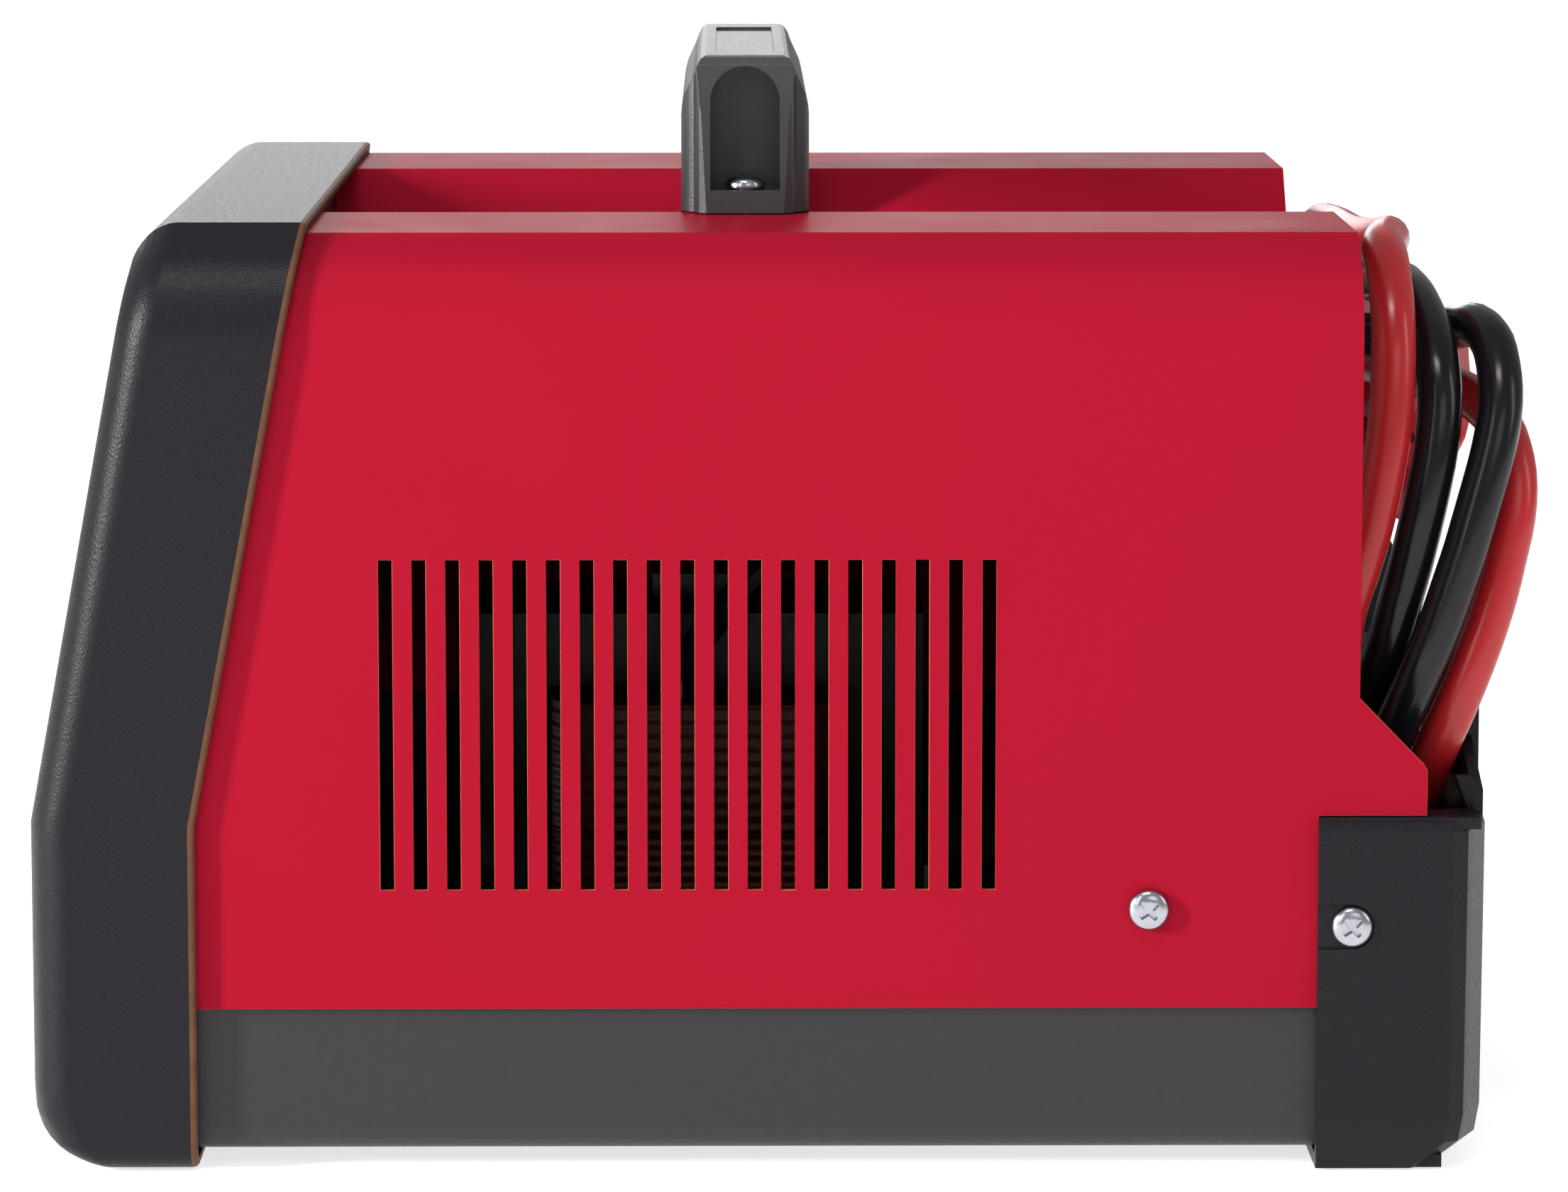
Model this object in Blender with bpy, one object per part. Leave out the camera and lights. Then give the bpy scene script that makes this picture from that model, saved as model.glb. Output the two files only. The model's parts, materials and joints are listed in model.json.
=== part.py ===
"""A small transformer stick welder: sheet cover, moulded bezel and cable tray, with its two leads put away.

Metres, +Z up. The front faces -Y, the rear cable tray is at +Y. The origin is on the floor, under the
middle of the casing.
"""

import math

import bmesh
import bpy
from mathutils import Matrix, Vector

GAP = 0.0003  # left between pieces that touch

# Casing
SIDE_X = 0.152  # outside of the cover's side walls
SHEET = 0.0015
RIDGE_Z = 0.2138
CREASE_X = 0.1325  # outer edge of each flat ridge
TROUGH_X = 0.0715  # inner edge of each flat ridge
TROUGH_DEPTH = 0.024
SHOULDER = (0.130, 0.1905)  # centre of the large side bend, in x and z
SHOULDER_R = SIDE_X - SHOULDER[0]
SHOULDER_TURN = math.radians(62)
COVER_BOTTOM_Z = 0.0375
COVER_REAR_Y = 0.136
NOTCH_Z = 0.082  # where the cover sits over the rear tray
NOTCH_TOP_Z = 0.109
NOTCH_Y = 0.1516
TRAY_FRONT_Y = 0.1269

# Front bezel, whose face leans back above the kink
FRONT_Y = -0.1675
KINK_Z = 0.080
FRONT_LEAN = 0.1856  # how far back per metre of height
BEZEL_REAR_Y = -0.1293
BEZEL_REAR_LEAN = 0.190
BEZEL_SIDE_X = 0.155
BEZEL_TOP_Z = 0.2165
BEZEL_WALL = 0.0025
BEZEL_BORDER = 0.018
COLLAR = 0.0025  # wall between the front opening and the panel
PANEL_SET_BACK = 0.0200
PANEL_THICK = 0.0025
PANEL_LOW_Z = 0.014

# Controls, as places on the sloping panel: x, and distance up from the kink
KNOB_AT = (0.035, 0.066)
KNOB_R = 0.020
ROCKER_X = (-0.0835, -0.0565)
ROCKER_Z = (0.055, 0.077)
ROCKER_TILT = math.radians(9)
LENS_AT = (-0.070, 0.100)

# Slots in the cover's right side
VENT_COUNT = 19
VENT_PITCH = 0.00762
VENT_WIDTH = 0.0032
VENT_START_Y = -0.0872
VENT_Z = (0.0650, 0.1410)

# Base
BASE_X = SIDE_X - SHEET - GAP
BASE_Z = 0.0037
BASE_WALL = 0.0025
BASE_TOP_Z = 0.0646
BASE_Y = (-0.1440, 0.153)
BASE_FLOOR_Z = BASE_Z + BASE_WALL

# Rear cable tray
TRAY_X = 0.154
TRAY_REAR_Y = 0.1662
TRAY_TOP_Z = NOTCH_Z - GAP
TRAY_WALL = 0.003
TRAY_INSIDE_X = 0.140
TRAY_FLOOR_Z = 0.065
HORN_X = (0.090, 0.114)
HORN_TOP_Z = 0.121
HORN_REAR_Y = 0.1675

# Carry handle, set across the trough
HANDLE_Y = -0.00365
HANDLE_END_X = 0.0815
HANDLE_TOP_X = 0.0765
HANDLE_TOP_Z = 0.251
HANDLE_HALF_WIDTH = 0.01515
HANDLE_LEG_X = 0.052
HANDLE_UNDER_Z = 0.229
HANDLE_BOLT_X = 0.0758
POCKET_FLOOR_Z = 0.2195

# Screws
SCREW_HEAD_R = 0.00472
SCREW_HEAD_H = 0.0024
SCREW_R = 0.002
COVER_SCREW = (0.0882, 0.0604)  # y and z
TRAY_SCREW = (0.1346, 0.0566)

# Transformer
CORE_Y = -0.015
CORE_HALF_Y = 0.055
CORE_HALF_X = 0.032
CORE_Z = (0.012, 0.112)
LIMB = 0.018

# Fan
FAN_Z = 0.120
FAN_R = 0.052
FAN_Y = (0.090, 0.102)

REAR_PANEL_Y = (0.1249, 0.1264)

# Leads
LEAD_R = 0.0052
ELECTRODE_EXIT = (-0.090, 0.172)  # x and z of the gland on the rear panel
WORK_EXIT = (0.078, 0.185)
MAINS_INLET = (-0.040, 0.165)
GLAND_TIP_Y = 0.1365

# Electrode holder and work clamp, in their own frames: +X from the lead's end to the jaws
HOLDER_AT = (-0.084, 0.1595, 0.1572)
HOLDER_ROLL = math.radians(-26)
HOLDER_PIVOT = (0.098, 0.004)
CLAMP_AT = (0.072, 0.1440, 0.0935)
CLAMP_PIVOT = (0.078, 0.004)

COLOURS = {
    "red_paint": ((0.53, 0.010, 0.040), 0.42, 0.0),
    "black_plastic": ((0.028, 0.028, 0.032), 0.5, 0.0),
    "handle_plastic": ((0.040, 0.041, 0.045), 0.45, 0.0),
    "zinc": ((0.72, 0.73, 0.75), 0.28, 1.0),
    "plated_sheet": ((0.50, 0.50, 0.50), 0.4, 1.0),
    "core_steel": ((0.16, 0.16, 0.17), 0.45, 0.9),
    "copper": ((0.72, 0.30, 0.16), 0.35, 1.0),
    "aluminium": ((0.70, 0.71, 0.72), 0.35, 1.0),
    "red_rubber": ((0.55, 0.035, 0.040), 0.35, 0.0),
    "black_rubber": ((0.018, 0.018, 0.020), 0.35, 0.0),
    "red_plastic": ((0.55, 0.015, 0.030), 0.3, 0.0),
    "fan_plastic": ((0.06, 0.06, 0.06), 0.5, 0.0),
    "lens": ((0.80, 0.35, 0.02), 0.15, 0.0),
    "brass": ((0.75, 0.55, 0.25), 0.3, 1.0),
    "steel": ((0.55, 0.56, 0.58), 0.32, 1.0),
}


# --- Small modelling tools ---


def clear_scene():
    for obj in list(bpy.data.objects):
        bpy.data.objects.remove(obj, do_unlink=True)


def material(name):
    found = bpy.data.materials.get(name)
    if found:
        return found
    colour, roughness, metallic = COLOURS[name]
    made = bpy.data.materials.new(name)
    made.use_nodes = True
    shader = made.node_tree.nodes["Principled BSDF"]
    shader.inputs["Base Color"].default_value = (*colour, 1.0)
    shader.inputs["Roughness"].default_value = roughness
    shader.inputs["Metallic"].default_value = metallic
    made.diffuse_color = (*colour, 1.0)
    return made


def from_bmesh(name, bm, finish):
    bmesh.ops.recalc_face_normals(bm, faces=bm.faces)
    mesh = bpy.data.meshes.new(name)
    bm.to_mesh(mesh)
    bm.free()
    mesh.materials.append(material(finish))
    mesh.shade_smooth()
    mesh.set_sharp_from_angle(angle=math.radians(35))
    obj = bpy.data.objects.new(name, mesh)
    bpy.context.scene.collection.objects.link(obj)
    return obj


def loft(name, rings, finish, hollow=False):
    """Joins rings of equally many points. The ends are capped or, when hollow, joined to each other."""
    bm = bmesh.new()
    rows = [[bm.verts.new(point) for point in ring] for ring in rings]
    count = len(rows[0])
    pairs = list(zip(rows, rows[1:]))
    if hollow:
        pairs.append((rows[-1], rows[0]))
    else:
        bm.faces.new(rows[0])
        bm.faces.new(list(reversed(rows[-1])))
    for first, second in pairs:
        for i in range(count):
            j = (i + 1) % count
            bm.faces.new((first[i], first[j], second[j], second[i]))
    return from_bmesh(name, bm, finish)


def place(axis, flat, along):
    """A point from its two coordinates across an axis, and its place along it."""
    point = list(flat)
    point.insert("XYZ".index(axis), along)
    return tuple(point)


def prism(name, outline, axis, low, high, finish="steel"):
    return loft(name, [[place(axis, p, y) for p in outline] for y in (low, high)], finish)


def box(name, x, y, z, finish="steel"):
    corners = [(x[0], y[0]), (x[1], y[0]), (x[1], y[1]), (x[0], y[1])]
    return prism(name, corners, "Z", z[0], z[1], finish)


def circle(radius, sides, centre=(0.0, 0.0), turn=0.0):
    steps = [turn + 2 * math.pi * i / sides for i in range(sides)]
    return [(centre[0] + radius * math.cos(a), centre[1] + radius * math.sin(a)) for a in steps]


def arc(centre, radius, start, end, steps):
    angles = [math.radians(start + (end - start) * i / steps) for i in range(steps + 1)]
    return [(centre[0] + radius * math.cos(a), centre[1] + radius * math.sin(a)) for a in angles]


def rounded(x, y, radius, steps=4):
    """A rectangle with round corners, from its ranges in two directions."""
    corners = ((x[1], y[1], 0), (x[0], y[1], 90), (x[0], y[0], 180), (x[1], y[0], 270))
    points = []
    for cx, cy, start in corners:
        centre = (cx - math.copysign(radius, cx - sum(x) / 2), cy - math.copysign(radius, cy - sum(y) / 2))
        points += arc(centre, radius, start, start + 90, steps)
    return points


def turned(name, profile, axis, centre, sides, finish):
    """Turns (radius, place along the axis) points about an axis that passes through centre."""
    flat = [c for i, c in enumerate(centre) if i != "XYZ".index(axis)]
    base = centre["XYZ".index(axis)]
    rings = [[place(axis, p, base + along) for p in circle(r, sides, flat)] for r, along in profile]
    return loft(name, rings, finish)


def rod(name, axis, centre, radius, low, high, sides=16, finish="steel"):
    return turned(name, [(radius, low), (radius, high)], axis, centre, sides, finish)


def bake(obj):
    bpy.context.view_layer.update()
    graph = bpy.context.evaluated_depsgraph_get()
    mesh = bpy.data.meshes.new_from_object(obj.evaluated_get(graph))
    obj.modifiers.clear()
    obj.data = mesh
    mesh.shade_smooth()
    mesh.set_sharp_from_angle(angle=math.radians(35))


def combine(target, others, operation):
    for other in others:
        modifier = target.modifiers.new("shape", "BOOLEAN")
        modifier.operation = operation
        modifier.object = other
        bake(target)
        bpy.data.objects.remove(other, do_unlink=True)
    return target


def cut(target, *others):
    return combine(target, others, "DIFFERENCE")


def join(target, *others):
    return combine(target, others, "UNION")


def common(target, *others):
    return combine(target, others, "INTERSECT")


def mirrored(points):
    """A right-hand outline and its mirror image, as one line from right to left."""
    return points + [(-x, z) for x, z in reversed(points)]


def offset_line(points, distance):
    """A line moved sideways, to the left of its direction, with mitred corners."""
    moved = []
    for i, point in enumerate(points):
        here = Vector(point)
        before = (here - Vector(points[i - 1])).normalized() if i else None
        after = (Vector(points[i + 1]) - here).normalized() if i + 1 < len(points) else None
        before = before or after
        after = after or before
        normal = Vector((-before.y - after.y, before.x + after.x)).normalized()
        side = Vector((-before.y, before.x))
        moved.append(tuple(here + normal * distance / max(normal.dot(side), 0.3)))
    return moved


def smooth_route(points, spacing):
    """Points at an even spacing along a smooth curve through the given points."""
    line = [Vector(p) for p in points]
    line = [2 * line[0] - line[1], *line, 2 * line[-1] - line[-2]]
    fine = []
    for p0, p1, p2, p3 in zip(line, line[1:], line[2:], line[3:]):
        for step in range(16):
            t = step / 16
            fine.append(
                0.5 * (2 * p1 + (p2 - p0) * t + (2 * p0 - 5 * p1 + 4 * p2 - p3) * t**2
                       + (3 * p1 - p0 - 3 * p2 + p3) * t**3)
            )
    fine.append(line[-2])
    lengths = [0.0]
    for a, b in zip(fine, fine[1:]):
        lengths.append(lengths[-1] + (b - a).length)
    count = max(2, round(lengths[-1] / spacing))
    made, k = [], 0
    for i in range(count + 1):
        goal = lengths[-1] * i / count
        while k < len(lengths) - 2 and lengths[k + 1] < goal:
            k += 1
        share = (goal - lengths[k]) / (lengths[k + 1] - lengths[k])
        made.append(fine[k].lerp(fine[k + 1], share))
    return made


def tube(name, points, radius, finish, resolution=3, spacing=0.026):
    """A round tube along a smooth route, as a curve with filled ends."""
    data = bpy.data.curves.new(name, "CURVE")
    data.dimensions = "3D"
    data.bevel_depth = radius
    data.bevel_resolution = resolution
    data.use_fill_caps = True
    route = smooth_route(points, spacing)
    ends = smooth_route(points, 0.005)
    route = [route[0], ends[1], *route[1:-1], ends[-2], route[-1]]
    spline = data.splines.new("POLY")
    spline.points.add(len(route) - 1)
    for target, point in zip(spline.points, route):
        target.co = (*point, 1.0)
    data.materials.append(material(finish))
    obj = bpy.data.objects.new(name, data)
    bpy.context.scene.collection.objects.link(obj)
    return obj


def move(matrix, *objects):
    """Places pieces that were modelled in their own frame."""
    for obj in objects:
        obj.data.transform(matrix)
        obj.data.update()


def set_origin(obj, point):
    """Puts a moving piece's origin on its joint's axis."""
    obj.data.transform(Matrix.Translation(-Vector(point)))
    obj.location = point


# --- Casing ---


def front_y(z):
    """The outer face of the bezel at a height."""
    if z < 0.018:
        return FRONT_Y + 0.009 * (1 - z / 0.018) ** 2.2
    return FRONT_Y + max(0.0, z - KINK_Z) * FRONT_LEAN


def bezel_rear_y(z):
    return BEZEL_REAR_Y + max(0.0, z - KINK_Z) * BEZEL_REAR_LEAN


def cover_line():
    """The cover's outer section, from the right bottom edge over the top to the left one."""
    floor_z = RIDGE_Z - TROUGH_DEPTH
    right = [(SIDE_X, COVER_BOTTOM_Z)]
    right += arc(SHOULDER, SHOULDER_R, 0, math.degrees(SHOULDER_TURN), 7)
    right += [(CREASE_X, RIDGE_Z), (TROUGH_X, RIDGE_Z), (TROUGH_X - TROUGH_DEPTH, floor_z)]
    return mirrored(right)


def make_cover():
    outer = cover_line()
    inner = offset_line(outer, SHEET)
    outline = outer + inner[::-1]
    rings = [
        [(x, bezel_rear_y(z) - 0.012, z) for x, z in outline],
        [(x, NOTCH_Y, z) for x, z in outline],
    ]
    cover = loft("wraparound_cover", rings, "red_paint")
    above = [
        (COVER_REAR_Y, 0.25),
        (COVER_REAR_Y, NOTCH_TOP_Z),
        (NOTCH_Y - 0.0012, 0.0942),
        (NOTCH_Y - 0.0002, 0.0928),
        (NOTCH_Y + 0.01, 0.0928),
        (NOTCH_Y + 0.01, 0.25),
    ]
    below = [(TRAY_FRONT_Y, NOTCH_Z), (0.17, NOTCH_Z), (0.17, 0.02), (TRAY_FRONT_Y, 0.02)]
    cut(cover, prism("above", above, "X", -0.2, 0.2), prism("below", below, "X", -0.2, 0.2))
    for i in range(VENT_COUNT):
        y = VENT_START_Y + i * VENT_PITCH
        cut(cover, box("vent", (0.1, 0.2), (y, y + VENT_WIDTH), VENT_Z))
    cut(cover, rod("hole", "X", (0, *COVER_SCREW), 0.0026, -0.2, 0.2, 12))
    for side in (1, -1):
        cut(cover, rod("hole", "Z", (side * HANDLE_BOLT_X, HANDLE_Y, 0), 0.0029, 0.18, 0.22, 12))
    return cover


def bezel_outline(inset):
    """The front view of the bezel, moved inwards by inset, as (x, z) points all round."""
    side = BEZEL_SIDE_X - inset
    radius = BEZEL_SIDE_X - SHOULDER[0] - inset
    foot_r = max(0.006 - inset, 0.001)
    foot = (side - foot_r, inset + foot_r)
    right = arc(foot, foot_r, -90, 0, 3)
    right += [(side, 0.018 + inset * 0.2), (side, KINK_Z), (side, 0.135)]
    right += arc(SHOULDER, radius, 0, math.degrees(SHOULDER_TURN), 8)
    right += [(CREASE_X + 0.003 - inset * 0.3, BEZEL_TOP_Z - inset)]
    return mirrored(right)


def make_bezel():
    def ring(inset, back):
        return [(x, front_y(z) + back, z) for x, z in bezel_outline(inset)]

    def rear_ring(inset):
        return [(x, bezel_rear_y(z), z) for x, z in bezel_outline(inset)]

    rings = [
        ring(0.0085, 0.0),
        ring(0.0045, 0.0011),
        ring(0.0015, 0.0034),
        ring(0.0, 0.0068),
        rear_ring(0.0),
        rear_ring(BEZEL_WALL),
        ring(BEZEL_WALL, 0.0070),
        ring(BEZEL_BORDER - COLLAR, 0.0045),
        ring(BEZEL_BORDER - COLLAR, PANEL_SET_BACK - GAP),
        ring(BEZEL_BORDER, PANEL_SET_BACK - GAP),
        ring(BEZEL_BORDER, 0.0016),
        ring(BEZEL_BORDER - 0.0012, 0.0004),
    ]
    bezel = loft("front_bezel", rings, "black_plastic", hollow=True)
    floor_z = RIDGE_Z - TROUGH_DEPTH + 0.0004
    foot_x = TROUGH_X - TROUGH_DEPTH - 0.0005
    edge_x = TROUGH_X - 0.0009
    end = mirrored([(foot_x, floor_z), (edge_x, RIDGE_Z), (edge_x, BEZEL_TOP_Z - 0.001)])
    return join(bezel, prism("trough_end", end, "Y", -0.1120, -0.1086))


def make_front_panel():
    inset = BEZEL_WALL + 0.0006
    line = [p for p in bezel_outline(inset) if p[1] >= KINK_Z - 0.001]
    low_x = BEZEL_SIDE_X - inset - 0.004
    low = [(low_x, PANEL_LOW_Z), (-low_x, PANEL_LOW_Z)]
    bm = bmesh.new()
    faces = []
    for back in (PANEL_SET_BACK, PANEL_SET_BACK + PANEL_THICK):
        upper = [bm.verts.new((x, front_y(z) + back, z)) for x, z in line]
        lower = [bm.verts.new((x, front_y(z) + back, z)) for x, z in low]
        bm.faces.new(upper)
        bm.faces.new((upper[0], upper[-1], lower[1], lower[0]))
        faces.append([lower[0], *upper, lower[1]])
    for i, corner in enumerate(faces[0]):
        j = (i + 1) % len(faces[0])
        bm.faces.new((corner, faces[0][j], faces[1][j], faces[1][i]))
    panel = from_bmesh("front_panel", bm, "black_plastic")
    lean = panel_matrix(0, 0)
    holes = [
        prism("hole", circle(0.0035, 16, KNOB_AT), "Y", -0.02, 0.02),
        prism("hole", rounded(ROCKER_X, ROCKER_Z, 0.0002, 1), "Y", -0.02, 0.02),
        prism("hole", circle(0.0036, 16, LENS_AT), "Y", -0.02, 0.02),
    ]
    move(lean, *holes)
    cut(panel, *holes)
    for i in range(6):
        z = 0.034 + i * 0.007
        cut(panel, box("louvre", (-0.075, 0.075), (-0.17, -0.13), (z, z + 0.0028)))
    return panel


def panel_matrix(x, z):
    """Moves a piece drawn with the panel's face as its XZ plane, -Y outwards, onto the sloping panel."""
    tilt = math.atan(FRONT_LEAN)
    start = Vector((0, FRONT_Y + PANEL_SET_BACK, KINK_Z))
    up = Vector((0, math.sin(tilt), math.cos(tilt)))
    return Matrix.Translation(start + Vector((x, 0, 0)) + up * z) @ Matrix.Rotation(-tilt, 4, "X")


def make_knob(lean):
    """The output knob, on the shaft of the selector switch behind the panel."""
    x, z = KNOB_AT
    centre = (x, 0, z)
    rings = [
        (KNOB_R, -0.0005),
        (KNOB_R, -0.0040),
        (KNOB_R - 0.0035, -0.0050),
        (KNOB_R - 0.0045, -0.0145),
        (KNOB_R - 0.0060, -0.0160),
    ]
    knob = turned("output_knob", rings, "Y", centre, 32, "black_plastic")
    cut(knob, rod("bore", "Y", centre, 0.0029, -0.011, 0.01))
    shaft = rod("selector_shaft", "Y", centre, 0.0028, -0.0105, 0.0215, 16, "brass")
    body_x, body_z = (x - 0.022, x + 0.022), (z - 0.022, z + 0.022)
    body = box("selector_switch", body_x, (0.0030, 0.030), body_z, "black_plastic")
    cut(body, rod("bore", "Y", centre, 0.0029, -0.01, 0.022))
    move(lean, knob, shaft, body)
    for piece in (knob, shaft):
        set_origin(piece, lean @ Vector(centre))


def make_rocker(lean):
    """The power switch: a housing snapped into the panel, and the rocker that tips in its mouth."""
    middle = (sum(ROCKER_X) / 2, sum(ROCKER_Z) / 2)
    wide_x = (ROCKER_X[0] - 0.002, ROCKER_X[1] + 0.002)
    wide_z = (ROCKER_Z[0] - 0.002, ROCKER_Z[1] + 0.002)
    inner_x = (ROCKER_X[0] + GAP, ROCKER_X[1] - GAP)
    inner_z = (ROCKER_Z[0] + GAP, ROCKER_Z[1] - GAP)
    mouth_x = (inner_x[0] + 0.002, inner_x[1] - 0.002)
    mouth_z = (inner_z[0] + 0.002, inner_z[1] - 0.002)
    face = rounded(wide_x, wide_z, 0.003, 3)
    housing = prism("switch_housing", face, "Y", -0.0022, -GAP, "black_plastic")
    join(housing, box("back", inner_x, (-0.0015, 0.024), inner_z))
    cut(housing, box("mouth", mouth_x, (-0.01, 0.014), mouth_z))
    half = (ROCKER_Z[1] - ROCKER_Z[0]) / 2 - 0.0028
    outline = [
        (0.0086, half * 0.3),
        (-0.0010, half),
        (-0.0035, half - 0.0004),
        (-0.0012, 0.0),
        (-0.0035, 0.0004 - half),
        (-0.0010, -half),
        (0.0086, -half * 0.3),
    ]
    paddle_x = (ROCKER_X[0] + 0.0029, ROCKER_X[1] - 0.0029)
    paddle = prism("power_rocker", outline, "X", *paddle_x, "black_plastic")
    paddle.data.transform(Matrix.Rotation(ROCKER_TILT, 4, "X"))
    paddle.data.transform(Matrix.Translation((0, 0, middle[1])))
    move(lean, housing, paddle)
    set_origin(paddle, lean @ Vector((middle[0], 0, middle[1])))


def make_indicator(lean):
    rings = [
        (0.0032, 0.010),
        (0.0032, -0.0006),
        (0.0048, -0.0006),
        (0.0046, -0.0024),
        (0.0034, -0.0038),
        (0.0015, -0.0045),
    ]
    move(lean, turned("indicator_lens", rings, "Y", (LENS_AT[0], 0, LENS_AT[1]), 20, "lens"))


def make_controls():
    lean = panel_matrix(0, 0)
    make_knob(lean)
    make_rocker(lean)
    make_indicator(lean)


def make_base():
    outer = [(BASE_X, BASE_TOP_Z)]
    outer += list(reversed(arc((BASE_X - 0.006, BASE_Z + 0.006), 0.006, -90, 0, 4)))
    line = mirrored(outer)
    inner = offset_line(line, -BASE_WALL)
    base = prism("base_tray", line + inner[::-1], "Y", BASE_Y[0], BASE_Y[1], "black_plastic")
    for place_y, place_z in (COVER_SCREW, TRAY_SCREW):
        cut(base, rod("hole", "X", (0, place_y, place_z), SCREW_R + GAP, -0.2, 0.2, 12))
    for x, y in foot_bolts():
        cut(base, rod("hole", "Z", (x, y, 0), 0.0028, -0.01, 0.02, 12))
    return base


def make_rear_panel():
    inner = offset_line(cover_line(), SHEET + GAP)
    line = [p for p in inner if p[1] > BASE_TOP_Z]
    edge = line[0][0]
    low_x = BASE_X - BASE_WALL - GAP
    right = [
        (low_x - 0.006, BASE_FLOOR_Z + GAP),
        (low_x, BASE_FLOOR_Z + 0.006),
        (low_x, BASE_TOP_Z + 0.002),
        (edge, BASE_TOP_Z + 0.002),
    ]
    outline = right + line + [(-x, z) for x, z in reversed(right)]
    panel = prism("rear_panel", outline, "Y", *REAR_PANEL_Y, "plated_sheet")
    for x, z in (ELECTRODE_EXIT, WORK_EXIT, MAINS_INLET):
        cut(panel, rod("hole", "Y", (x, 0, z), 0.0088, 0.1, 0.2, 20))
    for row in range(5):
        z = FAN_Z - 0.036 + row * 0.012
        cut(panel, box("vent", (-0.030, 0.030), (0.1, 0.2), (z, z + 0.0045)))
    return panel


def tray_outline(inset, rear_y):
    """Plan of the rear tray's outer wall: open at the front, with cut-off rear corners."""
    x = TRAY_X - inset
    corner = [(x, rear_y - 0.0085), (x - 0.0025, rear_y - 0.0050), (x - 0.0140, rear_y)]
    return [(x, TRAY_FRONT_Y), *corner]


def make_horn(tray, side):
    """Adds one of the two posts at the back of the tray, with its foot, web and fin."""
    x = sorted((side * HORN_X[0], side * HORN_X[1]))
    middle = side * sum(HORN_X) / 2
    wall = 0.1631
    back = [
        (wall, 0.020),
        (HORN_REAR_Y, 0.024),
        (HORN_REAR_Y, 0.1130),
        (0.1640, HORN_TOP_Z),
        (wall, HORN_TOP_Z),
    ]
    web = [
        (0.1560, 0.090),
        (0.1633, 0.0835),
        (0.1633, HORN_TOP_Z - 0.001),
        (0.1590, HORN_TOP_Z - 0.001),
        (0.1560, 0.1165),
    ]
    foot = [(0.1130, 0.0800), (0.1400, 0.0800), (0.1400, 0.0860), (0.1130, 0.0950)]
    foot = [(side * along, z) for along, z in foot]
    fin = [(0.1632, 0.0790), (0.1655, 0.0790), (0.1655, 0.0850), (0.1632, 0.0890), (0.1595, 0.0890)]
    join(
        tray,
        prism("back", back, "X", *x),
        prism("web", web, "X", middle - 0.006, middle + 0.006),
        prism("foot", foot, "Y", wall, 0.1657),
        prism("fin", fin, "X", *sorted((side * 0.1368, side * 0.1398))),
    )


def cut_screw_seat(tray, side):
    """A shallow seat for the side screw's head, open to the tray's front edge."""
    y, z = TRAY_SCREW
    x = sorted((side * 0.1531, side * 0.16))
    notch = box("notch", x, (TRAY_FRONT_Y - 0.001, y), (z - 0.0052, z + 0.0052))
    cut(tray, join(notch, rod("seat", "X", (0, y, z), 0.0052, *x, 24)))


def make_rear_tray():
    def ring(z, inset, rear_y):
        outer = tray_outline(inset, rear_y)
        inner = [(x - TRAY_WALL, y - TRAY_WALL if y > TRAY_FRONT_Y else y) for x, y in outer]
        loop = outer + [(-x, y) for x, y in reversed(outer)]
        loop += [(-x, y) for x, y in inner] + list(reversed(inner))
        return [(x, y, z) for x, y in loop]

    rings = [
        ring(0.0, 0.0015, 0.1570),
        ring(0.0062, 0.0002, 0.1647),
        ring(0.0127, 0.0, 0.1658),
        ring(0.0785, 0.0, TRAY_REAR_Y),
        ring(0.0805, 0.0006, TRAY_REAR_Y - 0.0006),
        ring(TRAY_TOP_Z, 0.0020, TRAY_REAR_Y - 0.0024),
    ]
    tray = loft("rear_cable_tray", rings, "black_plastic")
    front = TRAY_FRONT_Y
    tub_z = (TRAY_FLOOR_Z - 0.003, TRAY_TOP_Z - 0.0004)
    join(
        tray,
        box("bottom", (-0.1515, 0.1515), (front, 0.1560), (0.0, 0.003)),
        box("tub", (-0.143, 0.143), (front + 0.0003, 0.1642), tub_z),
        box("rim", (-0.1525, 0.1525), (front + 0.0006, 0.1640), (0.0789, TRAY_TOP_Z - 0.0002)),
    )
    inside_x = (-TRAY_INSIDE_X, TRAY_INSIDE_X)
    cut(tray, box("inside", inside_x, (front - 0.01, 0.1629), (TRAY_FLOOR_Z, 0.2)))
    for side in (1, -1):
        make_horn(tray, side)
        cut_screw_seat(tray, side)
    cut(tray, rod("hole", "X", (0, *TRAY_SCREW), SCREW_R + GAP, -0.2, 0.2, 12))


def handle_front_outline():
    """The handle seen from the front: a bar on two legs that reach into the trough."""
    foot_z = RIDGE_Z + GAP
    inner_x = TROUGH_X - 0.012
    top = [
        (HANDLE_END_X, foot_z),
        (HANDLE_END_X - 0.001, 0.238),
        (HANDLE_TOP_X + 0.001, 0.2495),
        (HANDLE_TOP_X - 0.002, HANDLE_TOP_Z),
    ]
    corner = (HANDLE_LEG_X - 0.006, HANDLE_UNDER_Z - 0.006)
    under = [
        (HANDLE_LEG_X - 0.010, HANDLE_UNDER_Z),
        *arc(corner, 0.006, 90, 0, 4),
        (HANDLE_LEG_X, 0.2010),
        (inner_x - 0.0035, 0.2010),
        (inner_x, foot_z - 0.012 + GAP),
        (TROUGH_X, foot_z),
    ]
    return mirrored(top) + mirrored(under[::-1])[::-1]


def handle_side_outline():
    w = HANDLE_HALF_WIDTH
    half = [
        (w, 0.19),
        (w, 0.2385),
        (w - 0.0008, 0.2425),
        (w - 0.0028, 0.2462),
        (w - 0.0040, 0.2495),
        (w - 0.0055, HANDLE_TOP_Z + 0.0002),
    ]
    return [(y + HANDLE_Y, z) for y, z in mirrored(half)]


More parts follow.
